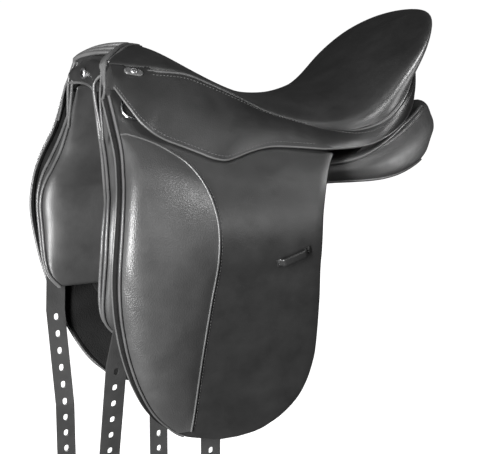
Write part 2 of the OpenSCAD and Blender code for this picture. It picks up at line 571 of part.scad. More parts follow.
module tree_rivet_pair(past) for (m = [0, 1]) mirror([0, m, 0])
    on_side(tree_rivet_x, tree_rivet_down, plate_in - past)
        cylinder(r = rivet_r, h = head_out - plate_in + 2 * past);
module gullet_plate() color(plate_steel) arch(plate_out, plate_t, point_leg, plate_w);
module tree_head() color(beech) arch(head_out, head_out - head_in, head_leg, head_w);

// The rails of the tree, from the head to the cantle
rail_y = [[-146, 62], [-60, 68], [0, 68], [70, 82], [150, 94]];
rail_z = [[-146, 118], [-60, 98], [0, 75], [70, 57], [150, 66]];
rail_tilt = [[-146, 50], [-60, 46], [0, 24], [70, 10], [150, 4]];
rail_half = 18;
rail_t = 9;
rail_x = [head_x + head_w + 0.4, 152];
function rail_ring(x) = let (y = keyed(rail_y, x), z = keyed(rail_z, x), a = keyed(rail_tilt, x))
    [for (k = [[1, 1], [1, -1], [-1, -1], [-1, 1]])
        [x, y + k.x * rail_half * cos(a) + k.y * rail_t / 2 * sin(a),
            z - k.x * rail_half * sin(a) + k.y * rail_t / 2 * cos(a)]];
module tree_rail(side) on(side) color(beech) loft([for (x = steps(rail_x[0], rail_x[1], 16)) rail_ring(x)]);

// The cantle arch of the tree
cantle_line = [[153.2, 92, 62], [172, 88, 68], [190, 76, 78], [206, 58, 88], [217, 32, 96], [221, 0, 99]];
cantle_rise = [10, 27, 43, 54, 60, 62];
cantle_t = 9;
cantle_end = len(cantle_line) - 1;
function cantle_out(s) = unit(cross(spline(cantle_line, min(s + 0.05, cantle_end))
    - spline(cantle_line, max(s - 0.05, 0)), [0, 0, 1]));
function cantle_at(s, f, d) = let (h = spline(cantle_rise, s) * f,
    p = spline(cantle_line, s) + [0.2 * h, 0, h] - d * cantle_out(s)) s == cantle_end ? [p.x, 0, p.z] : p;
cantle_half = steps(0, cantle_end, 8);
function cantle_face(d) = let (half = [for (s = cantle_half) [for (f = [0, 0.5, 1]) cantle_at(s, f, d)]])
    concat(half, [for (i = [len(half) - 2:-1:0]) [for (p = half[i]) flip(p)]]);
module tree_cantle() color(beech) slab(cantle_face(cantle_t / 2), cantle_face(-cantle_t / 2));

// Webbing stretched from the head to the cantle under the foam
web_t = 2;
web_y = 23;
web_half = 15;
web_gap = 0.6;
web_end = 12.8;
web_s = [for (s = foam_s) if (s < web_end) s];
function under_foam(s, y, d) = let (q = rim_share * y / spline(rim_line, s).y)
    seat_at(s, q, foam_depth(q) + d);
module seat_webbing() color(web_colour) for (y = [-web_y, web_y]) slab(
    [for (s = web_s) [for (k = [-1, 0, 1]) under_foam(s, y + k * web_half, web_gap)]],
    [for (s = web_s) [for (k = [-1, 0, 1]) under_foam(s, y + k * web_half, web_gap + web_t)]]);

module tree_rivets() color(steel) tree_rivet_pair(0);

// The pommel's facing: a padded leather arch over the front of the head
facing_rows = [[-174.6, 175.5], [-182, 174], [-190, 167], [-196, 156], [-199, 143], [-198, 130]];
facing_half = [56, 58, 60, 62, 63, 63];
facing_round = [17, 18, 18, 15, 10, 6];
facing_sweep = [0, 3, 6, 8, 8, 8];
facing_t = 5;
facing_back = [0, 0, 0.9, 0.9, 0.9, 0.9];
facing_down = [0.75, 0.75, 0.75, 0.75, 0, 0];
facing_narrow = 80;
function facing_at(r, v, d) = let (p = facing_rows[r])
    [p.x + facing_back[r] * d + facing_sweep[r] * v * v, facing_half[r] * v * (1 - d / facing_narrow),
        p.y - facing_round[r] * v * v - facing_down[r] * d];
facing_v = steps(-1, 1, 12);
module pommel_facing() color(leather) slab(
    [for (r = [0:len(facing_rows) - 1]) [for (v = facing_v) facing_at(r, v, 0)]],
    [for (r = [0:len(facing_rows) - 1]) [for (v = facing_v) facing_at(r, v, facing_t)]]);

// Stirrup bar: a forged plate on the tree with a bar held off it, open to the rear
bar_plate_t = 3.4;
bar_plate_out = head_out + 0.4;
bar_plate_len = 50;
bar_plate_up = 30;
bar_plate_above = 6;
arm_len = 9;
arm_up = 8;
fork_len = 8;
fork_slot = 3;
fork_wall = 1.5;
pin_seat = 0.02;
catch_side = 0.2;
round_bar_len = bar_len - arm_len - fork_len;
fork_x = bar_x + bar_len - fork_len;
catch_x = fork_x + fork_len / 2 + 0.5;
module stirrup_bar(side) on(side) color(steel) {
    on_side(bar_x, bar_down - bar_plate_up - bar_plate_above, bar_plate_out)
        cube([bar_plate_len, bar_plate_up, bar_plate_t]);
    on_side(bar_x, bar_down - arm_up, bar_plate_out)
        cube([arm_len, arm_up + bar_r, bar_out + bar_r - bar_plate_out]);
    on_side(bar_x + arm_len - edge, bar_down, bar_out) rotate([0, 90, 0])
        cylinder(r = bar_r, h = round_bar_len);
    on_side(fork_x - edge, bar_down, bar_out) difference() {
        translate([0, -bar_r, -bar_r]) cube([fork_len, 2 * bar_r, 2 * bar_r]);
        translate([fork_wall, -bar_r - 1, -fork_slot / 2]) cube([fork_len, 2 * bar_r + 2, fork_slot]);
        translate([catch_x - fork_x, 0, -bar_r - 1]) cylinder(r = catch_pin_r + pin_seat, h = 2 * bar_r + 2);
    }
}
module catch_pin(side) on(side) color(steel) on_side(catch_x, bar_down, bar_out - bar_r)
    cylinder(r = catch_pin_r, h = 2 * bar_r);
module bar_catch(side) on(side) color(steel) on_side(catch_x, bar_down, bar_out) difference() {
    translate([0, 0, catch_side - fork_slot / 2]) union() {
        cylinder(r = bar_r - 1, h = fork_slot - 2 * catch_side);
        translate([0, -bar_r + 1, 0]) cube([catch_len, 2 * bar_r - 2, fork_slot - 2 * catch_side]);
    }
    translate([0, 0, -fork_slot]) cylinder(r = catch_pin_r + catch_play, h = 2 * fork_slot);
}

// Girth webs hang from the tree, and the billets are riveted to them
web_side = 0.3;
web_depth = billet_depth + billet_t + web_side;
web_below = 12;
girth_web_t = 3;
pivot_down = 40;
rivet_head_r = rivet_r + 3;
rivet_head_t = 1.6;
billet_above = 16;
girth_web_w = 34;
front_web_top = 4;
rear_web_top = 14.3;
module girth_web(side) on(side) color(web_colour) {
    web_drop(front_pivot_x, front_web_top);
    web_drop(rear_billet_x, rear_web_top);
}
module web_drop(x, web_top) difference() {
    on_side(x - girth_web_w / 2, web_top, -web_depth - girth_web_t)
        cube([girth_web_w, pivot_down + web_below - web_top, girth_web_t]);
    on_side(x, pivot_down, -web_depth - girth_web_t - 1) cylinder(r = rivet_r, h = girth_web_t + 2);
}
module billet_rivets(side) on(side) color(steel) for (x = [front_pivot_x, rear_billet_x]) {
    on_side(x, pivot_down, -web_depth - girth_web_t)
        cylinder(r = rivet_r, h = girth_web_t + billet_t + 2 * web_side);
    on_side(x, pivot_down, web_side - billet_depth) cylinder(r = rivet_head_r, h = rivet_head_t);
}

// A billet: a strap bent to the flap's side, hanging straight at its end, with a pointed tip
function billet_line(d) = let (bend_drop = side_low_z - d * sin(side_tuck) - billet_bend_z,
    bend_t = side_flat + bend_len + bend_drop / cos(side_tuck),
    rows = concat([pivot_down - billet_above, side_flat], bend_rows, [bend_t]), end = side(0, bend_t, d))
    concat([for (t = rows) let (p = side(0, t, d)) [p.y, p.z]], [[end.y, billet_tip_z]]);
module billet_strip() rotate([90, 0, 90]) translate([0, 0, -300]) linear_extrude(400)
    polygon(concat(billet_line(-billet_depth), reversed(billet_line(-billet_depth - billet_t))));
tip_len = 16;
billet_knee_z = -185;
plan_depth = 3 * side_top_y;
module billet_plan(top_x, low_x) {
    top_z = side(0, pivot_down - billet_above, -billet_depth).z + 10;
    w = billet_w / 2;
    rotate([90, 0, 0]) translate([0, 0, -plan_depth]) linear_extrude(plan_depth) polygon([
        [top_x - w, top_z], [low_x - w, billet_knee_z], [low_x - w, billet_tip_z + tip_len],
        [low_x - w / 3, billet_tip_z], [low_x + w / 3, billet_tip_z],
        [low_x + w, billet_tip_z + tip_len], [low_x + w, billet_knee_z], [top_x + w, top_z]]);
}
slot_h = 40;
slot_run = hole_len - hole_w;
module slot(x, y, z) translate([x, y, z]) rotate([90, 0, 0]) union() {
    for (k = [-1, 1]) translate([0, k * slot_run / 2, -slot_h / 2]) cylinder(r = hole_w / 2, h = slot_h);
    translate([-hole_w / 2, -slot_run / 2, -slot_h / 2]) cube([hole_w, slot_run, slot_h]);
}
hang_y = side(0, flap_bottom, -billet_depth).y;
upper_holes = 6;
module billet(side, top_x, low_x) on(side) color(leather) difference() {
    intersection() {
        billet_strip();
        billet_plan(top_x, low_x);
    }
    on_side(top_x, pivot_down, -billet_depth - billet_t - 1)
        cylinder(r = rivet_r + rivet_play, h = billet_t + 2);
    for (i = [0:hole_count - 1]) slot(low_x, hang_y, hole_low_z + i * hole_pitch);
    for (i = [0:upper_holes - 1]) let (z = hole_low_z + (hole_count + i) * hole_pitch,
        t = low_start + (side_low_z - z) / cos(side_tuck)) slot(low_x, side(0, t, -billet_depth).y, z);
}
module front_billet(side) billet(side, front_pivot_x, front_billet_x);
module rear_billet(side) billet(side, rear_billet_x, rear_billet_x);

// Dee ring in a leather chape, riveted to the flap under the skirt's front edge
dee_along = 30;
dee_drop = 26;
dee_turn = 45;
dee_play = 0.35;
dee_hole_r = dee_wire_r + dee_play;
dee_loop_r = dee_hole_r + chape_t;
dee_out = layer_gap + dee_loop_r - hinge_out;
chape_w = 16;
chape_len = 24;
chape_rivet_r = rivet_r - 1;
chape_rivet_in = 6;
chape_rivet_head = 1.2;
module at_dee() in_hinge(dee_along, dee_drop, dee_out) rotate(dee_turn) children();
module dee_ring(side) on(side) color(steel) at_dee() {
    rotate([0, 90, 0]) cylinder(r = dee_wire_r, h = 2 * dee_r, center = true);
    rotate_extrude(angle = 180) translate([dee_r, 0]) circle(dee_wire_r);
    for (k = [-1, 1]) translate([k * dee_r, 0, 0]) sphere(dee_wire_r);
}
module dee_chape(side) on(side) color(leather) at_dee() difference() {
    union() {
        rotate([0, 90, 0]) cylinder(r = dee_loop_r, h = chape_w, center = true);
        translate([-chape_w / 2, -chape_len, -dee_loop_r]) cube([chape_w, chape_len, 2 * chape_t]);
    }
    rotate([0, 90, 0]) cylinder(r = dee_hole_r, h = chape_w + 2, center = true);
    translate([0, chape_rivet_in - chape_len, -dee_loop_r - 1])
        cylinder(r = chape_rivet_r, h = 2 * chape_t + 2);
}
module dee_rivet(side) on(side) color(steel) at_dee()
    translate([0, chape_rivet_in - chape_len, -dee_loop_r]) {
        cylinder(r = chape_rivet_r, h = 2 * chape_t);
        translate([0, 0, 2 * chape_t]) cylinder(r = chape_rivet_r + 1.5, h = chape_rivet_head);
    }

// Head studs on the pommel's facing, and buttons on patches at the front of the seat's edge
stud_row = 4;
stud_base = 1.2;
stud_off = 1.5;
stud_dome_r = stud_ring_r - 2.2;
module head_stud() color(steel)
    translate(facing_at(stud_row, 0, 0) - [stud_off, 0, 0]) rotate([0, -90, 0]) {
        rotate_extrude() polygon([[0, -stud_base], [stud_ring_r, -stud_base], [stud_ring_r, stud_base / 2],
            [stud_ring_r - 0.9, stud_base + 0.4], [stud_ring_r - 2, stud_base], [0, stud_base]]);
        translate([0, 0, stud_base]) scale([1, 1, 0.45]) sphere(stud_dome_r);
    }
button_s = 1;
button_g = 0.12;
button_seat = 0.35;
patch_t = 1.6;
module at_button() {
    n = sheet_normal(button_s, head_share(button_s, button_g));
    p = head_at(button_s, button_g, skirt_t / 2 + button_seat);
    translate(p) rotate([0, acos(n.z), atan2(n.y, n.x)]) rotate(90) children();
}
module button_patch(side) on(side) color(leather) at_button() linear_extrude(patch_t) {
    square([patch_len - patch_w, patch_w], center = true);
    for (k = [-1, 1]) translate([k * (patch_len - patch_w) / 2, 0]) circle(patch_w / 2);
}
module skirt_button(side) on(side) color(steel) at_button() translate([0, 0, patch_t]) rotate_extrude()
    polygon([[0, 0], [button_r, 0], [button_r, 1], [button_r * 0.8, 1.9], [0, 2.3]]);

tree_head();
tree_rail("left");  // tree_rail_left
tree_rail("right");  // tree_rail_right
tree_cantle();
gullet_plate();
tree_rivets();
seat_webbing();
seat_foam();
seat_cover();
seat_welt();
pommel_facing();
skirt_head("left");  // skirt_head_left
skirt_head("right");  // skirt_head_right
skirt("left");  // skirt_left
skirt("right");  // skirt_right
flap_head("left");  // flap_head_left
flap_head("right");  // flap_head_right
flap("left");  // flap_left
flap("right");  // flap_right
flap_lining("left");  // flap_lining_left
flap_lining("right");  // flap_lining_right
knee_pad("left");  // knee_pad_left
knee_pad("right");  // knee_pad_right
keeper("left");  // keeper_left
keeper("right");  // keeper_right
sweat_flap("left");  // sweat_flap_left
sweat_flap("right");  // sweat_flap_right
panel("left");  // panel_left
panel("right");  // panel_right
panel_flap("left");  // panel_flap_left
panel_flap("right");  // panel_flap_right
panel_front_bridge();
panel_rear_bridge();
stirrup_bar("left");  // stirrup_bar_left
stirrup_bar("right");  // stirrup_bar_right
bar_catch("left");  // bar_catch_left
bar_catch("right");  // bar_catch_right
catch_pin("left");  // catch_pin_left
catch_pin("right");  // catch_pin_right
girth_web("left");  // girth_web_left
girth_web("right");  // girth_web_right
billet_rivets("left");  // billet_rivets_left
billet_rivets("right");  // billet_rivets_right
front_billet("left");  // front_billet_left
front_billet("right");  // front_billet_right
rear_billet("left");  // rear_billet_left
rear_billet("right");  // rear_billet_right
dee_ring("left");  // dee_ring_left
dee_ring("right");  // dee_ring_right
dee_chape("left");  // dee_chape_left
dee_chape("right");  // dee_chape_right
dee_rivet("left");  // dee_rivet_left
dee_rivet("right");  // dee_rivet_right
head_stud();
button_patch("left");  // button_patch_left
button_patch("right");  // button_patch_right
skirt_button("left");  // skirt_button_left
skirt_button("right");  // skirt_button_right
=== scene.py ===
"""Dressage saddle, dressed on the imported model. Lengths in the drawing functions are in millimetres."""
import json
from functools import lru_cache
from math import copysign, cos, hypot, pi, radians, sin, sqrt

import bmesh
import bpy
import numpy as np
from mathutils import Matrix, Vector

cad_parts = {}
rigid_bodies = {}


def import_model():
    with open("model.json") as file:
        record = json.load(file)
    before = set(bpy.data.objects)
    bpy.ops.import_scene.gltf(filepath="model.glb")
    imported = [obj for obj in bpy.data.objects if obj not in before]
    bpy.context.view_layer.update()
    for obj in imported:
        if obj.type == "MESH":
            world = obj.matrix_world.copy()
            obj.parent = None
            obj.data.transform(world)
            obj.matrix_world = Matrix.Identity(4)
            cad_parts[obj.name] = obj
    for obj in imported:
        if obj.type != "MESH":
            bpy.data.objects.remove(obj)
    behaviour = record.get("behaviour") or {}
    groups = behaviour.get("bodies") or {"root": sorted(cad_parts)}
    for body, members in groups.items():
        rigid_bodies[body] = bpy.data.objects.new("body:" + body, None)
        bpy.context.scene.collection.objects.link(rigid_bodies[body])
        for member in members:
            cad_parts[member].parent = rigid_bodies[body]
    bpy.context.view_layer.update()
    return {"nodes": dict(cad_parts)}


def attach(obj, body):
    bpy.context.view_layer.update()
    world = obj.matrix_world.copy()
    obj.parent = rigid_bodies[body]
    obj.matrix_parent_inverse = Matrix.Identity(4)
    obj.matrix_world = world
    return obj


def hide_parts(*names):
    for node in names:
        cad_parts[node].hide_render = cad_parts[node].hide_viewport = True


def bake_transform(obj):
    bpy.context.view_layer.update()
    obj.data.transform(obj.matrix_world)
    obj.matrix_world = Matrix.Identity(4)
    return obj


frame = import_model()
scene = bpy.context.scene

# The two sides: the drawing functions draw the right one, and -1 mirrors it
SIDES = ((-1, "left"), (1, "right"))

# The flap's side profile, the hinge line and the outlines
SIDE_Y, SIDE_Z, SLOPE, FLAT, BEND_R, TUCK = 92.0, 112.0, radians(40), 95.0, 120.0, radians(15)
LOW = FLAT + BEND_R * (SLOPE + TUCK)
FLAP_T, SKIRT_T = 4.5, 3.6
WELT_R, WELT_GAP = 2.2, 1.2
# The seat at its stations, from the pommel to the middle of the cantle: welt, rim and middle line
WELT = [[-186, 58, 157], [-158, 62, 153], [-125, 66, 150], [-95, 68, 146], [-67, 72, 134], [-36, 76, 118],
        [4, 86, 95], [37, 95, 83], [68, 106, 75], [106, 119, 73], [147, 122, 84], [176, 113, 104],
        [200, 94, 127], [221, 64, 147], [237, 33, 159], [243, 0, 163]]
RIM = [[-186, 52, 163], [-158, 56, 160], [-125, 60, 156], [-95, 62, 149], [-67, 65, 137.5], [-36, 69, 122],
       [4, 79, 101], [37, 88, 91], [68, 99, 85], [106, 113, 88], [143, 119, 108], [178, 119, 144],
       [212, 106, 175], [240, 76, 196], [260, 40, 206], [268, 0, 208]]
MID_X = [-186, -158, -125, -95, -67, -36, 4, 37, 66, 98, 126, 152, 178, 203, 223, 240]
MID_Z = [170, 178, 175, 161, 144, 127, 112, 108.5, 110.5, 119, 131, 146, 162, 178, 190, 198]
SEAT_END = 15
# The stuffing that raises the cantle's rim
STUFF = [0, 0, 0, 0, 0, 0, 0, 0, 0, 1, 2.5, 4.5, 6, 7, 7.5, 7.5]
RIM = [[x + 0.4 * u, y * (1 + 0.006 * u), z + 0.8 * u] for (x, y, z), u in zip(RIM, STUFF)]
MID_Z = [z + 0.4 * u for z, u in zip(MID_Z, STUFF)]


def past_middle(line):
    """A line with two more stations on the other side, so that its curve runs on through the middle."""
    return line + [[x, -y, z] for x, y, z in line[-2:-4:-1]]


WELT, RIM = past_middle(WELT), past_middle(RIM)
MID_X, MID_Z = MID_X + MID_X[-2:-4:-1], MID_Z + MID_Z[-2:-4:-1]
RIM_SHARE = 0.8
COVER_T = 2.2
FOAM_UNDER, FOAM_RIM, WEB_RIM = 18.9, 14.0, 8.9
HEAD_TOP = 6.0
# The skirt: places along the hinge line, the strip round the cantle, the lower edge and the doming
HEAD_ALONG = [4, 25, 54, 84, 113, 147, 194, 230, 266]
STRIP = [[108, 139, 55], [142, 134, 63], [175, 120, 78], [200, 99, 96], [221, 69, 113], [236, 35, 125.5],
         [242, 0, 130.5]]
SKIRT_DROP = [[0, 0.5], [11, 16], [26, 33], [42, 46.5], [64, 54], [98, 57], [118, 59], [134, 60.5], [149, 58],
              [160, 50], [172, 39.5], [186, 29], [200, 21], [216, 15.5], [236, 10.5], [260, 5], [284, -1]]
HINGE_X, HINGE_T, HINGE_OUT = -190.0, -31.0, 5.3
REST = 0.8 + SKIRT_T / 2 - HINGE_OUT
SKIRT_OUT = [[0, 0], [12, 4], [30, 6], [48, 3.5], [62, 0], [80, REST + 0.3], [120, REST], [180, REST],
             [215, -2.4], [250, -0.8], [284, 0]]
SWELL = [[0, 1.8], [1, 1.8], [2, 3], [3, 4], [4, 5.5], [5, 9.5], [6, 10.5], [7, 9], [8, 6], [9, 3.5],
         [10, 2.5], [15, 2.5]]
# Outlines on the saddle's side: distance down the side, place along x
FLAP_FRONT = [[-31, -197], [16, -198], [59, -200], [94, -206], [150, -217], [199, -221.5], [253, -217],
              [299, -207.5], [331, -198], [364, -185], [399, -166], [422, -146], [442, -119], [455, -72]]
FLAP_REAR = [[82, 66], [97, 56], [128, 43], [163, 35], [214, 35], [269, 41], [341, 46], [368, 44], [391, 39],
             [411, 30], [430, 14], [442, -2.5], [451, -22], [455, -48]]
KNEE_SEAM = [[36, -190], [44, -172], [53, -156], [65, -141], [80, -126], [98, -116], [118, -109], [140, -104],
             [161, -101.5], [209, -102], [251, -105], [332, -109], [411, -111.5], [437, -113]]
FLAP_CORNER, FLAP_TOP = 82, 0.6
# Above this row the flap ends at this x, hidden under the skirt's head
CUT_ROW, CUT_X = 26, -151.0
# The back piping of the flap's rolled edge: along x from the edge, and out from the face
FLAP_BACK = (-3.6, -9.5)
KNEE_TOP, KNEE_BOTTOM, KNEE_CROWN, KNEE_IN = 38, 434, 13, 4
KNEE_BASE, KNEE_SKIN, KNEE_ROLL, KNEE_TOP_RUN, KNEE_LOW_RUN = 0.5, 1.0, 0.2, 60, 130
PANEL_FRONT = [[-24, -199], [44, -204], [125, -217], [170, -222], [230, -223], [270, -222], [290, -217],
               [306, -204]]
PANEL_BACK = [[-24, -66], [60, -64], [125, -60], [200, -62], [260, -72], [290, -86], [306, -110]]
PANEL_DEPTH, PANEL_T, PANEL_EDGE, PANEL_END = 30, 35, 8, 306
# The rear panel along x: height of its inner, outer and upper edges, and its half width
REAR_IN = [[-60, 44], [-20, 24], [30, 8], [80, 3], [150, 0], [200, 8], [235, 22], [256, 42]]
REAR_OUT = [[-60, 6], [-20, 5], [30, 8], [80, 11], [150, 10], [200, 17], [235, 29], [256, 46]]
REAR_TOP = [[-60, 74], [-20, 56], [30, 42], [80, 42], [118, 47], [165, 64], [200, 80], [235, 94], [256, 76]]
REAR_WIDE = [[-60, 78], [-20, 92], [30, 112], [80, 126], [118, 128], [165, 117], [200, 100], [235, 76],
             [256, 54]]
REAR_FROM, REAR_GROW = 60, 1.035
LOW_CORNER, TOP_CORNER, PER_CORNER = 6, 9, 5
GULLET, ARCH_Z = 33, 71
# The cloth's pressure, and the rounds in which its movement is evened out
PRESSURE, SETTLE = 12, 16
# The rolls over the pommel: half width, x and z at the middle, their way forward and fall to the sides
HEAD_HALF, HEAD_X, HEAD_Z, HEAD_FORWARD, HEAD_FALL, HEAD_SOFT = 52, -143, 175.8, 47, 17, 0.12
# The pommel's facing, row by row: half width, and from the third row x and z at the middle, fall and sweep
FACING_HALF = [56, 58, 60, 62, 63, 63]
FACING = [[-189, 159, 14, -3], [-195.5, 152, 13, -6], [-199, 143, 10, -8], [-198, 130, 6, -9]]
FACING_END = 0.8
SWEAT_FRONT = [[62, -160], [120, -164], [210, -166], [300, -158], [336, -140]]
SWEAT_REAR = [[62, -6], [120, 2], [210, 10], [300, 8], [336, -14]]
SWEAT_DEPTH, SWEAT_T = 27.2, 2.4


def vec(*a):
    return np.array(a, float)


MIRROR = vec(1, -1, 1)


def unit(v):
    return v / np.linalg.norm(v)


def mix(a, b, f):
    return a + (b - a) * f


def catmull(a, b, c, d, f):
    return 0.5 * (2 * b + (c - a) * f + (2 * a - 5 * b + 4 * c - d) * f * f
                  + (3 * b - a - 3 * c + d) * f ** 3)


def spline(p, s):
    """The point at station s of a smooth curve through p."""
    n = len(p)
    i = min(max(int(s), 0), n - 2)
    return catmull(*(np.asarray(p[min(max(k, 0), n - 1)], float) for k in range(i - 1, i + 3)), s - i)


def keyed(k, v):
    """The value at v of a smooth curve through the pairs of k."""
    n = len(k)
    i = 0
    while i < n - 2 and v >= k[i + 1][0]:
        i += 1

    def rate(j):
        a, b = k[max(j - 1, 0)], k[min(j + 1, n - 1)]
        return (b[1] - a[1]) / (b[0] - a[0])

    h = k[i + 1][0] - k[i][0]
    f = min(max((v - k[i][0]) / h, 0), 1)
    g = 1 - f
    return (k[i][1] * (1 + 2 * f) * g * g + k[i + 1][1] * (3 - 2 * f) * f * f
            + h * f * g * (rate(i) * g - rate(i + 1) * f))


def side_angle(t):
    return SLOPE if t <= FLAT else -TUCK if t >= LOW else SLOPE - (t - FLAT) / BEND_R


def side(x, t, d=0.0):
    """The point t down the saddle's side, d outside the flap's outer face."""
    a = side_angle(t)
    if t <= FLAT:
        y, z = SIDE_Y + t * sin(SLOPE), SIDE_Z - t * cos(SLOPE)
    else:
        y = SIDE_Y + FLAT * sin(SLOPE) + BEND_R * (cos(a) - cos(SLOPE))
        z = SIDE_Z - FLAT * cos(SLOPE) - BEND_R * (sin(SLOPE) - sin(a))
        if t > LOW:
            y -= (t - LOW) * sin(TUCK)
            z -= (t - LOW) * cos(TUCK)
    return vec(x, y + d * cos(a), z + d * sin(a))


FALL = radians(23.33)
START = side(HINGE_X, HINGE_T, HINGE_OUT)
ALONG = vec(cos(FALL), sin(FALL) * sin(SLOPE), -sin(FALL) * cos(SLOPE))
DROP = vec(-sin(FALL), cos(FALL) * sin(SLOPE), -cos(FALL) * cos(SLOPE))
OUT = vec(0, cos(SLOPE), sin(SLOPE))


def hinged(a, d, o):
    """A point by its way along, below and outside the hinge line."""
    return START + a * ALONG + d * DROP + o * OUT


def hinge_x_at(t, drop):
    return HINGE_X + ((t - HINGE_T) * cos(FALL) - drop) / sin(FALL)


# Meshes
def make(name, pts, faces, material, sign=1, merge=0.0, sharp=50, relax=0, hold=None):
    """A mesh from points in mm. relax rounds it as stuffing does; hold tells which points stay."""
    p = np.array(pts, float) / 1000
    if sign < 0:
        p[:, 1] *= -1
    mesh = bpy.data.meshes.new(name)
    mesh.from_pydata(p.tolist(), [], [list(f) for f in faces])
    bm = bmesh.new()
    bm.from_mesh(mesh)
    if merge:
        bmesh.ops.remove_doubles(bm, verts=bm.verts, dist=merge / 1000)
    bmesh.ops.recalc_face_normals(bm, faces=bm.faces)
    free = [v for v in bm.verts if hold is None or not hold(v.co * 1000)]
    for _ in range(relax):
        bmesh.ops.smooth_vert(bm, verts=free, factor=0.5, use_axis_x=True, use_axis_y=True, use_axis_z=True)
    bm.to_mesh(mesh)
    bm.free()
    mesh.shade_smooth()
    if sharp:
        mesh.set_sharp_from_angle(angle=radians(sharp))
    mesh.materials.append(material)
    obj = bpy.data.objects.new(name, mesh)
    scene.collection.objects.link(obj)
    return obj


def swell(obj, held, cap, frames=20):
    """Blows a padded piece up as cloth. Held points are sewn down; none moves more than cap mm."""
    mesh = obj.data
    base = np.empty(len(mesh.vertices) * 3)
    mesh.vertices.foreach_get("co", base)
    obj.vertex_groups.new(name="held").add([int(i) for i in held], 1.0, "REPLACE")
    cloth = obj.modifiers.new("swell", "CLOTH")
    c = cloth.settings
    c.quality = 5
    c.use_pressure = True
    c.uniform_pressure_force = PRESSURE
    c.vertex_group_mass = "held"
    c.effector_weights.gravity = 0
    c.tension_stiffness = c.compression_stiffness = 8
    c.shear_stiffness = 4
    cloth.point_cache.frame_start, cloth.point_cache.frame_end = 1, frames
    for f in range(1, frames + 1):
        scene.frame_set(f)
    shape = obj.evaluated_get(bpy.context.evaluated_depsgraph_get()).data
    new = np.empty_like(base)
    shape.vertices.foreach_get("co", new)
    move = (new - base).reshape(-1, 3)
    ends = np.empty(len(mesh.edges) * 2, int)
    mesh.edges.foreach_get("vertices", ends)
    a, b = ends.reshape(-1, 2).T
    count = np.bincount(ends, minlength=len(move))[:, None]
    for _ in range(SETTLE):
        near = np.zeros_like(move)
        np.add.at(near, a, move[b])
        np.add.at(near, b, move[a])
        move = mix(move, near / count, 0.5)
        move[held] = 0
    far = np.linalg.norm(move, axis=1, keepdims=True)
    move *= np.minimum(1, cap / 1000 / np.maximum(far, 1e-9))
    obj.modifiers.remove(cloth)
    obj.vertex_groups.clear()
    scene.frame_set(1)
    mesh.vertices.foreach_set("co", (base.reshape(-1, 3) + move).ravel())
    mesh.update()


def slab_edge(n, m):
    """The points of a slab that are sewn down: its underside and the edge of its upper side."""
    return list(range(n * m, 2 * n * m)) + [r * m + c for r in range(n) for c in range(m)
                                            if r in (0, n - 1) or c in (0, m - 1)]


def grid_faces(n, m, base=0, wrap=False):
    out = []
    for r in range(n - 1):
        for c in range(m if wrap else m - 1):
            d = (c + 1) % m
            out.append((base + r * m + c, base + r * m + d, base + (r + 1) * m + d, base + (r + 1) * m + c))
    return out


def loft(rings):
    """Points and faces of a skin through rings of equal length, closed at both ends."""
    n, m = len(rings), len(rings[0])
    faces = grid_faces(n, m, wrap=True) + [tuple(range(m)), tuple((n - 1) * m + c for c in range(m))]
    return [p for r in rings for p in r], faces


def slab(top, under, last=True):
    """A sheet between two grids, closed all round; last tells whether its last row gets a wall too."""
    n, m = len(top), len(top[0])
    k = n * m
    pts = [p for r in top for p in r] + [p for r in under for p in r]
    faces = grid_faces(n, m) + grid_faces(n, m, k)
    for r in range(n - 1):
        for c in (0, m - 1):
            a = r * m + c
            faces.append((a, a + m, a + m + k, a + k))
    for c in range(m - 1):
        for r in (0, n - 1) if last else (0,):
            a = r * m + c
            faces.append((a, a + 1, a + 1 + k, a + k))
    return pts, faces


def steps(*runs):
    """Values from several even runs of (first, last, count), one after another."""
    return [v for first, last, count in runs for v in np.linspace(first, last, count)]


def turn(count):
    return np.linspace(0, 2 * pi, count, False)


def tube(name, path, r, material, sign=1, sides=10, body="saddle", nodes=()):
    """A round cord along a path; its radius r is a number, or a function of the share of the path."""
    path = [np.asarray(p, float) for p in path]
    rings = []
    u = None
    for i, p in enumerate(path):
        t = unit(path[min(i + 1, len(path) - 1)] - path[max(i - 1, 0)])
        if u is None:
            u = np.cross(t, vec(0, 0, 1) if abs(t[2]) < 0.9 else vec(1, 0, 0))
        u = unit(u - (u @ t) * t)
        v = np.cross(t, u)
        k = r(i / (len(path) - 1)) if callable(r) else r
        rings.append([p + k * (cos(q) * u + sin(q) * v) for q in turn(sides)])
    piece(name, loft(rings), material, sign, *nodes, body=body)


def resample(path, step):
    path = np.array(path, float)
    seg = np.linalg.norm(np.diff(path, axis=0), axis=1)
    run = np.concatenate([[0], np.cumsum(seg)])
    n = max(2, int(run[-1] / step) + 1)
    want = np.linspace(0, run[-1], n)
    return np.stack([np.interp(want, run, path[:, k]) for k in range(3)], 1)


def stitches(name, path, normals, body, sign, material=None, pitch=4.2, length=2.9, width=0.9, rise=0.45):
    """A row of sewn thread: small rounded stitches along a path, each lying on the surface under it."""
    pos = resample(path, pitch)
    src, nrm = np.array(path, float), np.array(normals, float)
    pts, faces = [], []
    prof = [(-0.5, 0.15), (-0.42, 0.62), (-0.15, 1.0), (0.15, 1.0), (0.42, 0.62), (0.5, 0.15)]
    for i in range(len(pos) - 1):
        c = (pos[i] + pos[i + 1]) / 2
        t = unit(pos[i + 1] - pos[i])
        n = nrm[np.argmin(((src - c) ** 2).sum(1))]
        n = unit(n - (n @ t) * t)
        b = np.cross(t, n)
        rings = [[c + t * x * length + b * cos(a) * k * width / 2
                  + n * (rise * 0.4 + sin(a) * k * rise)
                  for a in (q * pi / 3 for q in range(6))] for x, k in prof]
        one, skin = loft(rings)
        faces += [[len(pts) + v for v in f] for f in skin]
        pts += one
    piece(name, (pts, faces), material or THREAD, sign, body=body, sharp=None)


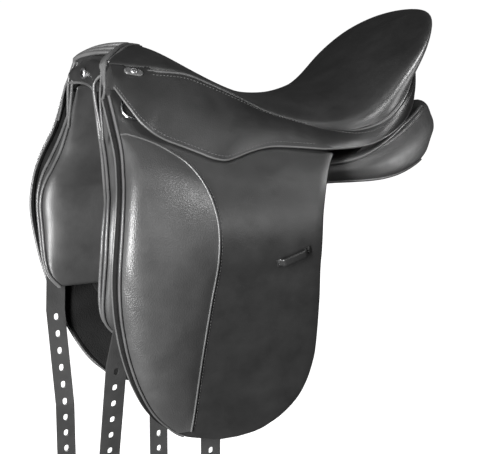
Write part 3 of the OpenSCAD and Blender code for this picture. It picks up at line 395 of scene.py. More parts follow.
def put(place, p):
    return place[:3, :3] @ p + place[:3, 3]


def lathe(name, profile, place, material, *nodes, sign=1):
    """A turned piece: a profile of (radius, height) about the Z axis of a place, a 4x4 matrix in mm."""
    rings = [[put(place, vec(r * cos(q), r * sin(q), z)) for q in turn(40)] for r, z in profile]
    piece(name, loft(rings), material, sign, *nodes, sharp=35)


def frame_of(z, x_hint, origin):
    z = unit(z)
    x = unit(x_hint - (x_hint @ z) * z)
    m = np.eye(4)
    m[:3, 0], m[:3, 1], m[:3, 2], m[:3, 3] = x, np.cross(z, x), z, origin
    return m


# Materials
def grey(v):
    return (v, v, v)


class Shader:
    """A Principled material drawn in object coordinates, with short ways to add its nodes."""

    def __init__(self, name):
        self.material = bpy.data.materials.new(name)
        self.material.use_nodes = True
        self.nodes, self.links = self.material.node_tree.nodes, self.material.node_tree.links
        self.inputs = self.nodes["Principled BSDF"].inputs
        self.where = self.node("TexCoord").outputs["Object"]

    def node(self, kind, **values):
        n = self.nodes.new("ShaderNode" + kind)
        for socket, value in values.items():
            n.inputs[socket].default_value = value
        return n

    def texture(self, kind, **values):
        n = self.node("Tex" + kind, **values)
        self.links.new(self.where, n.inputs["Vector"])
        return n

    def noise(self, scale, detail=4.0, rough=0.55):
        return self.texture("Noise", Scale=scale, Detail=detail, Roughness=rough).outputs["Fac"]

    def ramp(self, socket, fac, *stops):
        """Drives a Principled socket by a value, between two stops of (place, colour)."""
        r = self.node("ValToRGB")
        for e, (place, colour) in zip(r.color_ramp.elements, stops):
            e.position = place
            e.color = (*colour, 1)
        self.links.new(fac, r.inputs["Fac"])
        self.links.new(r.outputs["Color"], self.inputs[socket])

    def rough(self, scale, low, high, detail=4.0):
        self.ramp("Roughness", self.noise(scale, detail), (0.3, grey(low)), (0.7, grey(high)))

    def bump(self, height, strength, distance, before=None):
        """Adds a bump over the one before; the last one reaches the surface."""
        b = self.node("Bump", Strength=strength, Distance=distance)
        self.links.new(height, b.inputs["Height"])
        if before is not None:
            self.links.new(before, b.inputs["Normal"])
        self.links.new(b.outputs["Normal"], self.inputs["Normal"])
        return b.outputs["Normal"]


def leather(name, dark, light, rough, pebble, pebble_depth, crease=0.3, specular=0.9):
    """Dyed leather between two greys, with a pebbled grain, fine pores and shallow creases. In the seat copy
    the darker greys are painted shade; in the panel and piping copies the lighter greys are painted light and
    painted highlight.
    """
    m = Shader(name)
    m.ramp("Base Color", m.noise(22.0, 5.0, 0.6), (0.3, grey(dark)), (0.7, grey(light)))
    m.ramp("Roughness", m.noise(60.0, 6.0, 0.65), (0.25, grey(rough - 0.07)), (0.75, grey(rough + 0.07)))
    grain = m.texture("Voronoi", Scale=pebble, Randomness=0.9)
    grain.feature = "SMOOTH_F1"
    grain.inputs["Smoothness"].default_value = 0.35
    n = m.bump(grain.outputs["Distance"], pebble_depth, 0.0012)
    n = m.bump(m.noise(pebble * 2.6, 3.0), pebble_depth * 0.35, 0.0006, n)
    m.bump(m.noise(45.0), crease * 0.25, 0.002, n)
    m.inputs["Specular IOR Level"].default_value = specular
    return m.material


def metal(name, colour, rough, scratch=0.04):
    m = Shader(name)
    m.ramp("Base Color", m.noise(160.0), (0.3, tuple(c * 0.9 for c in colour)), (0.7, colour))
    m.rough(420.0, rough, rough + scratch, 5.0)
    m.inputs["Metallic"].default_value = 1.0
    return m.material


def wood(name):
    m = Shader(name)
    rings = m.texture("Wave", Scale=55.0, Distortion=6.0, Detail=3.0)
    rings.bands_direction = "Y"
    m.ramp("Base Color", rings.outputs["Fac"], (0.0, (0.030, 0.018, 0.010)), (1.0, (0.060, 0.038, 0.022)))
    m.rough(90.0, 0.4, 0.55)
    m.bump(rings.outputs["Fac"], 0.2, 0.0006)
    return m.material


def weave(name, dark, light):
    m = Shader(name)
    both = m.node("Math")
    both.operation = "MULTIPLY"
    for i, axis in enumerate(("X", "Z")):
        bands = m.texture("Wave", Scale=190.0, Distortion=0.6)
        bands.bands_direction = axis
        m.links.new(bands.outputs["Fac"], both.inputs[i])
    m.ramp("Base Color", both.outputs[0], (0.0, grey(dark)), (1.0, grey(light)))
    m.bump(both.outputs[0], 0.5, 0.0008)
    m.rough(300.0, 0.75, 0.9)
    return m.material


def foam(name):
    m = Shader(name)
    cells = m.texture("Voronoi", Scale=700.0).outputs["Distance"]
    m.ramp("Base Color", cells, (0.1, (0.42, 0.37, 0.25)), (0.6, (0.62, 0.56, 0.4)))
    m.bump(cells, 0.4, 0.0008)
    m.rough(250.0, 0.85, 0.98)
    return m.material


def thread(name, dark, light):
    m = Shader(name)
    twist = m.noise(900.0, 3.0)
    m.ramp("Base Color", twist, (0.3, grey(dark)), (0.7, grey(light)))
    m.bump(twist, 0.4, 0.0004)
    m.rough(500.0, 0.55, 0.7)
    return m.material


SMOOTH = leather("smooth_leather", 0.018, 0.031, 0.36, 950.0, 0.10)
# the seat leather is a darker copy of the smooth leather: its darker greys are painted shade
SEAT = leather("seat_leather_painted_shade", 0.011, 0.020, 0.38, 900.0, 0.12)
GRAIN = leather("grain_leather", 0.050, 0.079, 0.37, 620.0, 0.24, crease=0.0)
LINING = leather("lining_leather", 0.0054, 0.0126, 0.75, 600.0, 0.5, specular=0.18)
# the panel leather is a lighter copy of the smooth leather: its lighter greys are painted light
PANEL = leather("panel_leather_painted_light", 0.034, 0.054, 0.42, 850.0, 0.10)
STRAP = leather("billet_leather", 0.022, 0.040, 0.55, 800.0, 0.2)
# the piping leather is a lighter copy of the smooth leather: its lighter greys are painted highlight on the
# pipings, rolls, beads, patch and patch stitches
PIPE = leather("piping_leather_painted_highlight", 0.081, 0.126, 0.32, 1100.0, 0.08)
GLOSS = leather("stud_dome", 0.011, 0.018, 0.28, 1200.0, 0.02, specular=0.54)
THREAD = thread("stitch_thread", 0.063, 0.126)
CHROME = metal("bright_steel", (0.72, 0.73, 0.74), 0.16)
SATIN = metal("satin_steel", (0.82, 0.82, 0.83), 0.36)
STEEL = metal("plate_steel", (0.48, 0.49, 0.51), 0.32, 0.15)
WOOD = wood("tree_wood")
WEB = weave("webbing", 0.012, 0.05)
FOAM = foam("seat_foam_material")
SLOT = {GRAIN: "grain_leather", LINING: "lining_leather", STRAP: "billet_leather", STEEL: "plate_steel",
        WOOD: "tree_wood", WEB: "webbing", FOAM: "foam"}
SLOT |= dict.fromkeys((SMOOTH, SEAT, PANEL, PIPE, THREAD), "smooth_leather")
SLOT |= dict.fromkeys((CHROME, SATIN, GLOSS), "bright_steel")


def on(obj, body, *nodes):
    """Lets a piece ride on its body, in place of the solids that it stands for."""
    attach(obj, body)
    if nodes:
        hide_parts(*nodes)
    return obj


def piece(name, skin, material, sign, *nodes, body="saddle", sharp=60):
    return on(make(name, *skin, material, sign, sharp=sharp), body, *nodes)


# The seat
@lru_cache(None)
def seat_lines(s):
    return spline(WELT, s), spline(RIM, s), spline(MID_X, s), spline(MID_Z, s)


def seat(s, q):
    """The seat's surface at station s; q runs from its middle over the rim to the welt."""
    w, r, x, z = seat_lines(s)
    if q <= RIM_SHARE:
        f = q / RIM_SHARE
        return vec(mix(x, r[0], f), r[1] * f, mix(z, r[2], f * f))
    o = vec(r[0] - x, r[1], 0)
    o = o / max(np.linalg.norm(o), 1e-9)
    b = 0.3 * (r[2] - w[2])
    back = max(r[0], w[0]) + o[0] * b if r[0] > 100 else (r[0] + w[0]) / 2
    c = vec(back, max(r[1], w[1]) + o[1] * b / 2, mix(w[2], r[2], 0.62))
    f = (q - RIM_SHARE) / (1 - RIM_SHARE)
    g = 1 - f
    return g * g * r + 2 * f * g * c + f * f * w


def normal_of(surface, s, f, step):
    """The outward normal of a surface that runs over the stations."""
    s0, s1, f0, f1 = max(s - 0.05, 0), min(s + 0.05, SEAT_END), max(f - step, 0), min(f + step, 1)
    return unit(np.cross(surface(s1, f) - surface(s0, f), surface(s, f1) - surface(s, f0)))


def seat_at(s, q, depth):
    v = abs(q)
    p = seat(s, v) - depth * normal_of(seat, s, v, 0.02)
    if v == 0 or s >= SEAT_END:
        p[1] = 0
    return p * MIRROR if q < 0 else p


def soften(rows, rounds):
    """Rounds a grid across its columns, as stuffed leather does over a rim; its two edges stay."""
    g = np.array(rows)
    for _ in range(rounds):
        g[:, 1:-1] += 0.5 * ((g[:, :-2] + g[:, 2:]) / 2 - g[:, 1:-1])
    return g


def cut_back(q):
    """Station of the seat leather's front edge: at the middle it is cut back behind the pommel's rolls."""
    return 1.9 * (1 - min(1.0, abs(q) / 0.85) ** 0.85)


def seat_shell(name, stations, half, top, under, material, rounds=0, front=None):
    cols = [-q for q in half[:0:-1]] + list(half)

    def at(s, q, depth):
        f = (s - stations[0]) / (SEAT_END - stations[0])
        s = mix(front(q), SEAT_END, f) if front and f < 1 else s
        return seat_at(s, q, depth(s, q))

    a = soften([[at(s, q, top) for q in cols] for s in stations], rounds)
    b = soften([[at(s, q, under) for q in cols] for s in stations], rounds)
    pts, faces = slab(a, b, stations[-1] < SEAT_END)
    edge = {tuple(np.round(p, 2)) for g in (a, b) for p in (*g[:, 0], *g[:, -1], *g[0])}
    return make(name, pts, faces, material, merge=0.05, relax=min(rounds, 14),
                hold=lambda c: tuple(np.round(c, 2)) in edge)


seat_q = steps((0, 0.7, 15), (0.735, 1.0, 17))
cover = seat_shell("seat_cover_leather", steps((0.5, SEAT_END, 130)), seat_q,
                   lambda s, q: 0.0, lambda s, q: COVER_T, SEAT, 26, cut_back)
on(cover, "saddle", "seat_cover")


def foam_depth(q, at_rim):
    return mix(FOAM_UNDER, at_rim, (abs(q) / RIM_SHARE) ** 3)


pad = seat_shell("seat_foam_pad", steps((2, 13.6, 60)), steps((0, 0.8 * RIM_SHARE, 12)),
                 lambda s, q: 7.0 + 2.5 * min(max(s - 9, 0), 2), lambda s, q: foam_depth(q, FOAM_RIM), FOAM)
on(pad, "saddle", "seat_foam")


def under_foam(s, y, d):
    q = RIM_SHARE * y / spline(RIM, s)[1]
    return seat_at(s, q, foam_depth(q, WEB_RIM) + d)


for k, word in SIDES:
    rows = np.linspace(1, 12.75, 50)
    cols = np.linspace(8, 38, 6) * k
    strap = slab(*([[under_foam(s, y, d) for y in cols] for s in rows] for d in (1.2, 3.2)))
    piece(f"seat_web_{word}", strap, WEB, 1, *(["seat_webbing"] if k < 0 else []), sharp=50)


# The skirt: one domed sheet from the welt to its lower edge
def lifting_edge(a):
    return hinged(a, keyed(SKIRT_DROP, a), keyed(SKIRT_OUT, a))


EDGE = [lifting_edge(a) for a in HEAD_ALONG] + [vec(*p) for p in past_middle(STRIP)]
LIFT_END = len(HEAD_ALONG) - 1


def sheet_edge(s):
    return lifting_edge(spline(HEAD_ALONG, s)) if s < LIFT_END else spline(EDGE, s)


@lru_cache(None)
def sheet_lines(s):
    w, e = spline(WELT, s), sheet_edge(s)
    t = spline(WELT, min(s + 0.1, SEAT_END)) - spline(WELT, max(s - 0.1, 0))
    return w, e, 4 * keyed(SWELL, s) * unit(np.cross(t, e - w))


def sheet_mid(s, f):
    w, e, swell = sheet_lines(s)
    return mix(w, e, f) + f * (1 - f) * swell


def sheet_normal(s, f):
    return normal_of(sheet_mid, s, f, 0.05)


def sheet_at(s, f, d):
    p = sheet_mid(s, f) + d * sheet_normal(s, f)
    if s >= SEAT_END:
        p[1] = 0
    return p


def sheet_share(s, drop):
    """The share of the way from welt to edge at which the sheet lies that far below the hinge line."""
    w, e = ((p - START) @ DROP for p in (spline(WELT, s), sheet_edge(s)))
    return min(1.0, (drop - w) / (e - w))


def welt_at(s):
    w = spline(WELT, s)
    return w + (WELT_R + WELT_GAP) * unit(sheet_edge(s) - w)


def sheet_wide(s):
    return np.linalg.norm(sheet_edge(s) - spline(WELT, s))


def top_share(s):
    f = min(max((s - 1.3) / 0.5, 0), 1)
    return mix(-0.1, HEAD_TOP / sheet_wide(s), f * f * (3 - 2 * f))


def edge_round(s, r):
    """The rounded lower edge of the sheet, from its outer to its inner face."""
    e, n = sheet_mid(s, 1), sheet_normal(s, 1)
    out = unit(sheet_mid(s, 1) - sheet_mid(s, 0.95))
    pts = []
    for a in np.radians((60, 30, 0, -30, -60)):
        p = e + cos(a) * r * 0.8 * out + sin(a) * r * n
        if s >= SEAT_END:
            p[1] = 0
        pts.append(p)
    return pts


def build_skirt(k, word):
    """The head is fixed at the welt and the skirt hangs below it; the sheet is cut in two at the hinge line.
    """
    t = SKIRT_T / 2
    stations, rear = steps((0, 8.25, 120)), steps((8.3, SEAT_END, 70))
    head = []
    for s in stations + rear:
        low = sheet_share(s, 0)
        g = [mix(top_share(s), low, c) for c in np.linspace(0, 1, 14)]
        ring = [sheet_at(s, f, t) for f in g]
        ring += edge_round(s, t) if low >= 0.999 else [mix(sheet_at(s, low, t), sheet_at(s, low, -t), c)
                                                       for c in (0.1, 0.3, 0.5, 0.7, 0.9)]
        ring += [sheet_at(s, f, -t) for f in g[::-1]]
        head.append(ring)
    obj = make(f"skirt_head_{word}_leather", *loft(head), SMOOTH, k, sharp=60)
    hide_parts(f"skirt_head_{word}")
    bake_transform(obj)
    lift = []
    for s in [s for s in stations if sheet_share(s, 0) < 0.985]:
        low = sheet_share(s, 0)
        g = [mix(low, 1, c) for c in np.linspace(0, 1, 18)]
        lift.append([sheet_at(s, f, t) for f in g] + edge_round(s, t) + [sheet_at(s, f, -t) for f in g[::-1]])
    obj = make(f"skirt_{word}_leather", *loft(lift), SMOOTH, k, sharp=60)
    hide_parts(f"skirt_{word}")
    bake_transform(obj)

    def row(name, ss, share, body):
        path = [sheet_at(s, share(s), t) for s in ss]
        nor = [sheet_normal(s, share(s)) for s in ss]
        stitches(name, path, nor, body, k)

    # a light cord along the lower edge of the skirt and of the strip: its light colour is painted highlight
    # along the edge
    for part, first, last, count, body in (("skirt", 0.02, 7.9, 170, f"skirt_{word}"),
                                           ("strip", 7.9, SEAT_END, 120, "saddle")):
        bead = [sheet_at(s, 1, 0.9) for s in np.linspace(first, last, count)]
        tube(f"{part}_edge_highlight_bead_{word}", bead, 1.3, PIPE, k, 8, body)
    collar = [sheet_at(s, -0.1, 1.6) for s in np.linspace(0.02, 1.5, 30)]
    tube(f"skirt_collar_{word}", collar, lambda f: 1.6 * (1 - 0.6 * f), PIPE, k, 8)
    row(f"skirt_edge_stitch_{word}", np.linspace(0.12, 7.6, 160), lambda s: 1 - 4.5 / sheet_wide(s),
        f"skirt_{word}")
    row(f"welt_stitch_{word}", np.linspace(1.7, 14.8, 200),
        lambda s: (2 * WELT_R + WELT_GAP + 5) / sheet_wide(s), "saddle")


# The flap with its lining and knee pad
def flap_rear_x(t):
    x = hinge_x_at(t, FLAP_TOP) - 0.5 if t < FLAP_CORNER else keyed(FLAP_REAR, t)
    return min(x, CUT_X) if t < CUT_ROW else x


def side_rim(rows, front, rear, out, thick, cols):
    """A sheet on the flap's side with rounded front and rear edges."""
    r = thick / 2
    bends = np.radians((55, 25, -25, -55))
    rings = []
    for t in rows:
        a, b = front(t), rear(t)
        e = min(r, (b - a) / 4)
        xs = [mix(a + e, b - e, c) for c in np.linspace(0, 1, cols)]
        ring = [side(x, t, out) for x in xs]
        ring += [side(b - e + e * cos(q), t, out - r + r * sin(q)) for q in bends]
        ring += [side(x, t, out - thick) for x in xs[::-1]]
        ring += [side(a + e - e * cos(q), t, out - r - r * sin(q)) for q in bends]
        rings.append(ring)
    return loft(rings)


flap_rows = steps((-28, 25.9, 16), (26, 80, 16), (82, 84, 2), (87, 91, 2), (95, 430, 90), (432, 454.6, 22))


def flap_front_x(t):
    return keyed(FLAP_FRONT, t)


def knee_rise(t, c):
    down, up = min(1, (t - KNEE_TOP) / KNEE_TOP_RUN), min(1, (KNEE_BOTTOM - t) / KNEE_LOW_RUN)
    ends = sin(pi / 2 * max(down, 0)) * sin(pi / 2 * max(up, 0))
    if c < KNEE_ROLL:
        return KNEE_CROWN * ends * sqrt(max(0, 1 - (1 - c / KNEE_ROLL) ** 2))
    return KNEE_CROWN * ends * (1 - ((c - KNEE_ROLL) / (1 - KNEE_ROLL)) ** 1.7)


def knee_x(t, c):
    return mix(flap_front_x(t) + KNEE_IN, keyed(KNEE_SEAM, t), c)


def build_flap(k, word):
    body = f"flap_{word}"
    skin = side_rim(flap_rows, flap_front_x, flap_rear_x, 0, FLAP_T, 26)
    piece(f"flap_{word}_leather", skin, SMOOTH, k, f"flap_{word}", body=body)
    build_flap_lining(k, word, body)
    build_knee_pad(k, word, body)
    # the rolled front edge between two pipings
    ts = np.linspace(-16, 440, 150)

    def thinned(r):
        return lambda f: r * min(1, 12 * (1 - f) + 0.3)

    for part, x, out, r, material, sides in (("front_piping", 1.6, 0.7, 1.6, PIPE, 10),
                                             ("roll", -0.6, -6.5, thinned(3.4), LINING, 14),
                                             ("back_piping", *FLAP_BACK, thinned(1.7), PIPE, 10)):
        path = [side(flap_front_x(t) + x, t, out) for t in ts]
        tube(f"flap_{part}_{word}", path, r, material, k, sides, body)
    build_keeper(k, word, body)


def build_flap_lining(k, word, body):
    """The lining with its rolled front edge."""
    outer, inner = -5, -8.5
    roll = [[-31, 17], [210, 17], [250, 14], [290, 8.6], [455, 8.6]]
    rings = []
    for t in [t for t in flap_rows if -20 <= t <= 446]:
        a, b = flap_front_x(t) + 3, flap_rear_x(t) - 4
        w = min(11, (b - a) * 0.6)
        deep = max(keyed(roll, t), -inner)
        ring = [side(mix(a, b, c), t, outer) for c in (0, 0.3, 0.6, 1)]
        ring += [side(mix(b, a + w, c), t, inner) for c in (0, 0.33, 0.66, 1)]
        for q in np.linspace(0, pi, 9)[1:]:
            ring.append(side(a + w / 2 + w / 2 * cos(q), t, inner - (deep + inner) * sin(q)))
        rings.append(ring)
    piece(f"flap_lining_{word}_leather", loft(rings), LINING, k, f"flap_lining_{word}", body=body)


def build_knee_pad(k, word, body):
    rows = steps((KNEE_TOP, 60, 12), (63, 400, 80), (403, KNEE_BOTTOM, 14))
    cols = list(KNEE_ROLL * (1 - np.cos(np.linspace(0, pi / 2, 14)))) + list(np.linspace(0.22, 1, 26))
    seam_out = KNEE_BASE + KNEE_SKIN
    top = [[side(knee_x(t, c), t, seam_out + knee_rise(t, c)) for c in cols] for t in rows]
    low = [[side(knee_x(t, c), t, KNEE_BASE) for c in cols] for t in rows]
    pad = make(f"knee_pad_{word}_leather", *slab(top, low), GRAIN, k, sharp=70)
    swell(pad, slab_edge(len(rows), len(cols)), 4)
    on(pad, body, f"knee_pad_{word}")
    seam = [side(knee_x(KNEE_TOP, c), KNEE_TOP - 0.8, seam_out) for c in np.linspace(0, 0.92, 8)]
    seam += [side(knee_x(t, 1) + 0.8, t, seam_out) for t in rows]
    tube(f"knee_piping_{word}", seam, 1.2, PIPE, k, body=body)
    ts = np.linspace(46, 430, 200)
    stitches(f"knee_stitch_{word}", [side(keyed(KNEE_SEAM, t) + 5.0, t, 0.05) for t in ts],
             [side(0, t, 1) - side(0, t, 0) for t in ts], body, k)


def build_keeper(k, word, body):
    """The stirrup leather's keeper: a low strap bridge, sewn down at its ends."""
    place, down_at, tilt, half = -4.5, 204, radians(-19), 4.6
    a = side_angle(down_at)
    o = side(place, down_at, 0.5)
    down, out, x = vec(0, sin(a), -cos(a)), vec(0, cos(a), sin(a)), vec(1, 0, 0)
    c, s = cos(tilt), sin(tilt)
    u, v = c * x + s * down, -s * x + c * down
    # outer and inner face of one half: way from the middle, height
    bridge = [(22, 0.2, 22, 0), (21.5, 1.6, 21.5, 0), (17.5, 2.0, 16.6, 0), (16.2, 4.6, 14.6, 1.4),
              (14.8, 6.2, 14, 3.6), (12, 6.7, 12, 4.5)]
    rings = []
    for p, h, e, low in [(-p, h, -e, low) for p, h, e, low in bridge] + [(0, 6.9, 0, 4.8)] + bridge[::-1]:
        ring = [o + u * p + v * y + out * (h - (0.5 if abs(y) > half - 0.7 else 0))
                for y in np.linspace(-half, half, 9)]
        ring += [o + u * e + v * y + out * low for y in np.linspace(half, -half, 5)]
        rings.append(ring)
    piece(f"keeper_{word}_strap", loft(rings), SMOOTH, k, f"keeper_{word}", body=body)
    for end, e in (("a", -19.5), ("b", 19.5)):
        path = [o + u * e + v * y + out * 1.9 for y in np.linspace(-3.6, 3.6, 5)]
        stitches(f"keeper_stitch_{word}_{end}", path, [out] * 5, body, k, THREAD, 3.0, 2.2)


# Panels
def closed_curve(pts, per):
    n = len(pts)
    return [catmull(*(pts[(i + j) % n] for j in (-1, 0, 1, 2)), f)
            for i in range(n) for f in np.arange(per) / per]


def rear_ring(x):
    """The rear panel's section at x, from its upper edge at the gullet round its underside."""
    zi, zo, zt, w = (keyed(line, x) for line in (REAR_IN, REAR_OUT, REAR_TOP, REAR_WIDE))
    g = GULLET
    far = x if x < REAR_FROM else REAR_FROM + (x - REAR_FROM) * REAR_GROW
    return [vec(far, *p) for p in (
        (g + 4, zt), (g, mix(zi, zt, 0.55)), (g + 3, zi + 4),
        (mix(g, w, 0.25), mix(zi, zo, 0.25) - 3), (mix(g, w, 0.5), mix(zi, zo, 0.5) - 5),
        (mix(g, w, 0.75), mix(zi, zo, 0.75) - 4), (w - 4, zo - 1), (w + 1.5, mix(zo, zt, 0.28)),
        (w + 2.5, mix(zo, zt, 0.5)), (w - 0.5, mix(zo, zt, 0.76)), (w - 9, zt))]


def panel_edge(c, first, second, rest):
    """A value across the panel's width that changes towards its two edges."""
    return np.interp(c, (0, 0.05, 0.15, 0.82, 0.95, 1), (first, second, rest, rest, second, first))


def panel_thick(t, c):
    top = mix(0.35, 1, min(1, (t + 24) / 80))
    low = mix(0.4, 1, sin(pi / 2 * min(1, max(0, PANEL_END - t) / 90)))
    return PANEL_T * top * low * panel_edge(c, 0.42, 0.78, 1)


def panel_x(t, c):
    return mix(keyed(PANEL_FRONT, t), keyed(PANEL_BACK, t), c)


def build_panel(k, word):
    rows = steps((-57, 236, 60), (239, 256, 9))
    rings = [closed_curve(rear_ring(x), PER_CORNER) for x in rows]
    obj = make(f"panel_{word}_cushion", *loft(rings), PANEL, k, sharp=0, relax=6)
    low, top, m = LOW_CORNER * PER_CORNER, TOP_CORNER * PER_CORNER, len(rings[0])
    sewn = [c for c in range(m) if c in (low, top) or c > top + 1 or c < 2 * PER_CORNER + 2]
    swell(obj, [r * m + c for r in range(len(rings)) for c in sewn], 5)
    on(obj, "saddle", f"panel_{word}")
    for name, i, lift, size in (("top", TOP_CORNER, 1.5, 2.8), ("low", LOW_CORNER, 0.6, 1.6)):
        path = []
        for x in [x for x in rows if REAR_FROM < x < 222]:
            ring = rear_ring(x)
            up = min(max((x - 80) / 110, 0), 0.9) if name == "top" else 0
            path.append(mix(ring[i], ring[i + 1], up) + vec(0, lift, 0.8 * up))
        tube(f"panel_{name}_piping_{word}", path, size, PIPE, k)
    build_panel_front(k, word)
    build_head_roll(k, word)


def build_panel_front(k, word):
    """The front of the panel, which hangs under the flap."""
    ts = steps((-48, 60, 22), (65, 290, 50), (293, PANEL_END, 8))
    cols = sorted({0, 0.015, 0.03, *np.linspace(0.05, 0.95, 24), 0.97, 0.985, 1})

    def depth(c):
        return PANEL_DEPTH + panel_edge(c, PANEL_EDGE, 3, 0)

    top = [[side(panel_x(t, c), t, -depth(c)) for c in cols] for t in ts]
    low = [[side(panel_x(t, c), t, -depth(c) - panel_thick(t, c)) for c in cols] for t in ts]
    obj = make(f"panel_front_{word}_cushion", *slab(top, low), PANEL, k, sharp=0, relax=3)
    n, m = len(ts), len(cols)
    swell(obj, list(range(n * m)) + [n * m + r * m + c for r in range(n) for c in range(m)
                                     if r in (0, n - 1) or c < 5 or c > m - 5], 5)
    on(obj, "saddle", f"panel_flap_{word}")
    # two pipings, from the facing down the front edge
    for name, share, first, high in (("outer", 0.0, 2, [(0.8, 0.82), (2.4, 0.82), (4.4, 0.8)]),
                                     ("inner", 1.0, 6, [(4.6, 0.66)])):
        path = [facing_at(r, v, 1.2) for r, v in high]
        path += [side(keyed(PANEL_FRONT, t) - 0.6, t, -PANEL_DEPTH - PANEL_EDGE - share * panel_thick(t, 0))
                 for t in ts if t > first]
        n = len(high) + 2
        top = [spline(path[:n + 2], f) for f in np.linspace(0, n, 8 * n + 1)]
        tube(f"panel_front_{name}_piping_{word}", top + path[n + 1:], 2.0, PIPE, k)


def build_head_roll(k, word):
    """The roll that closes the front between the facing and the skirt, with its cord and its gusset."""
    x, out = FLAP_BACK
    top = [vec(-190, 51.5, 160), vec(-193, 59, 149), vec(-195, 65.5, 137), vec(-197, 70, 127),
           side(flap_front_x(-16) + x, -17, out)]
    path = [spline(top, f) for f in np.linspace(0, 4, 30)]
    tube(f"head_roll_piping_{word}", path, 2.2, PIPE, k)
    tube(f"head_roll_{word}", [p + vec(6, -5, -1) for p in path], 7.0, LINING, k, 16)
    cord = [vec(-194.5, 53, 151.9), vec(-197, 58, 140.8), vec(-200, 64, 129.9), vec(-202.5, 70, 119.1),
            vec(-204.1, 77, 104.8), vec(-205, 83, 90.5), vec(-206.7, 90, 75.3)]
    tube(f"head_cord_{word}", [spline(cord, f) for f in np.linspace(0, 6, 40)], 1.5, PIPE, k)
    edge = [sheet_at(0.02, f, -1.0) for f in np.linspace(-0.1, 1, 16)]
    edge += [sheet_at(s, 0.98, -1.0) for s in np.linspace(0.06, 0.7, 14)]
    # the gusset ends above the dee ring, which swings below it
    grid = [[mix(a, b, c) - vec(0, 1.5, 0) * sin(pi * c) for c in np.linspace(0, 1, 6)]
            for a, b in list(zip(path, edge))[:20]]
    gusset = slab(grid, [[p + vec(2.0, -1.0, 0) for p in r] for r in grid])
    piece(f"head_gusset_{word}", gusset, SMOOTH, k)


# Small pieces of one side
def build_small(k, word):
    rows = steps((62, 312, 50), (314, 334, 8))
    sweat = side_rim(rows, lambda t: keyed(SWEAT_FRONT, t), lambda t: keyed(SWEAT_REAR, t), -SWEAT_DEPTH,
                     SWEAT_T, 14)
    piece(f"sweat_flap_{word}_leather", sweat, LINING, k, f"sweat_flap_{word}")
    # the flap's nailed head under the skirt
    head = ([[sheet_at(s, mix(top_share(s), sheet_share(s, -0.5), g), d) for g in np.linspace(0.3, 1, 8)]
             for s in np.linspace(0.4, 7.6, 60)] for d in (-2.3, -5.3))
    piece(f"flap_head_{word}_leather", slab(*head), LINING, k, f"flap_head_{word}")
    # oval patch and button at the front corner of the skirt
    reach, r, high = 6.0, 5.5, 1.6
    f = mix(HEAD_TOP / sheet_wide(1), sheet_share(1, -0.5), 0.12)
    n = sheet_normal(1, f)
    o = sheet_at(1, f, SKIRT_T / 2 + 0.35)
    x = unit(sheet_mid(1.1, f) - sheet_mid(0.9, f))
    m = frame_of(n, x, o)

    def oval(angles, r, z):
        return [put(m, vec(copysign(reach, cos(q)) + r * cos(q), r * sin(q), z))
                for q in angles]

    rings = [oval(turn(56), max(r + grow, 0.05), z) for grow, z in (
        (0, 0), (0, 0.9), (-0.3, 1.35), (-0.9, high), (-3.2, high), (-4.2, 1.55), (-5.4, high))]
    piece(f"button_patch_{word}_leather", loft(rings), PIPE, k, f"button_patch_{word}")
    path = oval(np.linspace(0, 2 * pi, 80), 4.0, high)
    stitches(f"patch_stitch_{word}", path, [n] * len(path), "saddle", k, PIPE, 2.6, 1.9, 0.6, 0.3)
    cap = [(0.01, 0), (4.2, 0), (4.2, 0.9), (3.9, 1.45), (3.35, 1.75), (3.0, 1.6), (2.6, 1.65), (1.4, 1.95),
           (0.01, 2.05)]
    m = frame_of(n, x, o + n * high)
    lathe(f"skirt_button_{word}_cap", cap, m, SATIN, f"skirt_button_{word}", sign=k)


# The pommel's facing
def head_line(y, k):
    """The k-th roll over the pommel. At the middle it lies further back, as the head is cut back there."""
    a = abs(y) / HEAD_HALF
    e = (hypot(a, HEAD_SOFT) - HEAD_SOFT) / (hypot(1, HEAD_SOFT) - HEAD_SOFT)
    return vec(HEAD_X - HEAD_FORWARD * e ** 0.8 - k * (2 + 4.5 * (1 - a * a)), y,
               HEAD_Z - HEAD_FALL * a ** 2.3 - k * (1.4 + 3.2 * (1 - a * a)))


def facing_row(r, v):
    y = FACING_HALF[r] * v
    if r > 1:
        x, z, fall, sweep = FACING[r - 2]
        return vec(x + sweep * v * v, y, z - fall * v * v)
    top = head_line(y, 2.6) - vec(0, 0, 1)
    return top if r == 0 else mix(top, facing_row(2, v), 0.5)


def facing_at(r, v, d):
    """The facing at row r and share v of its half width, d below its outer face."""
    p = spline([facing_row(i, v) for i in range(6)], r)
    back = min(max((r - 1) * 0.9, 0), 0.9)
    down = 0.75 * min(max(4 - r, 0), 1)
    return p + vec(back * d, -p[1] * d / 80, -down * d)


def build_facing():
    rs, vs = np.linspace(0, 5, 34), np.linspace(-FACING_END, FACING_END, 61)
    skin = slab(*([[facing_at(r, v, d) for v in vs] for r in rs] for d in (0, 4.8)))
    obj = piece("pommel_facing_leather", skin, SMOOTH, 1, "pommel_facing")
    for k, name in enumerate(("top", "second", "front")):
        ends = [vec(-195, 64, 139 - 2 * k), vec(-193, 58, 149.5 - 2 * k)]
        over = [head_line(y, k) for y in np.linspace(-HEAD_HALF, HEAD_HALF, 81)]
        path = [p * MIRROR for p in ends] + over + ends[::-1]
        tube(f"pommel_roll_{name}", path, 2.9, PIPE, sides=14)
    tube("pommel_piping_low", [facing_at(4.92, v, 0.4) for v in vs], 1.8, PIPE)
    # the band between the rolls and the seat leather's edge, with the seam along that edge
    edge = [seat_at(cut_back(q), q, 1.3) for q in np.linspace(-0.84, 0.84, 61)]
    band = [[mix(p, head_line(min(max(p[1], -HEAD_HALF), HEAD_HALF), 0), f) - vec(0, 0, 0.3) for p in edge]
            for f in np.linspace(-0.3, 1, 8)]
    piece("pommel_band", slab(band, [[p - vec(0, 0, 2.0) for p in r] for r in band]), SMOOTH, 1)
    tube("seat_front_piping", edge, 1.5, PIPE)


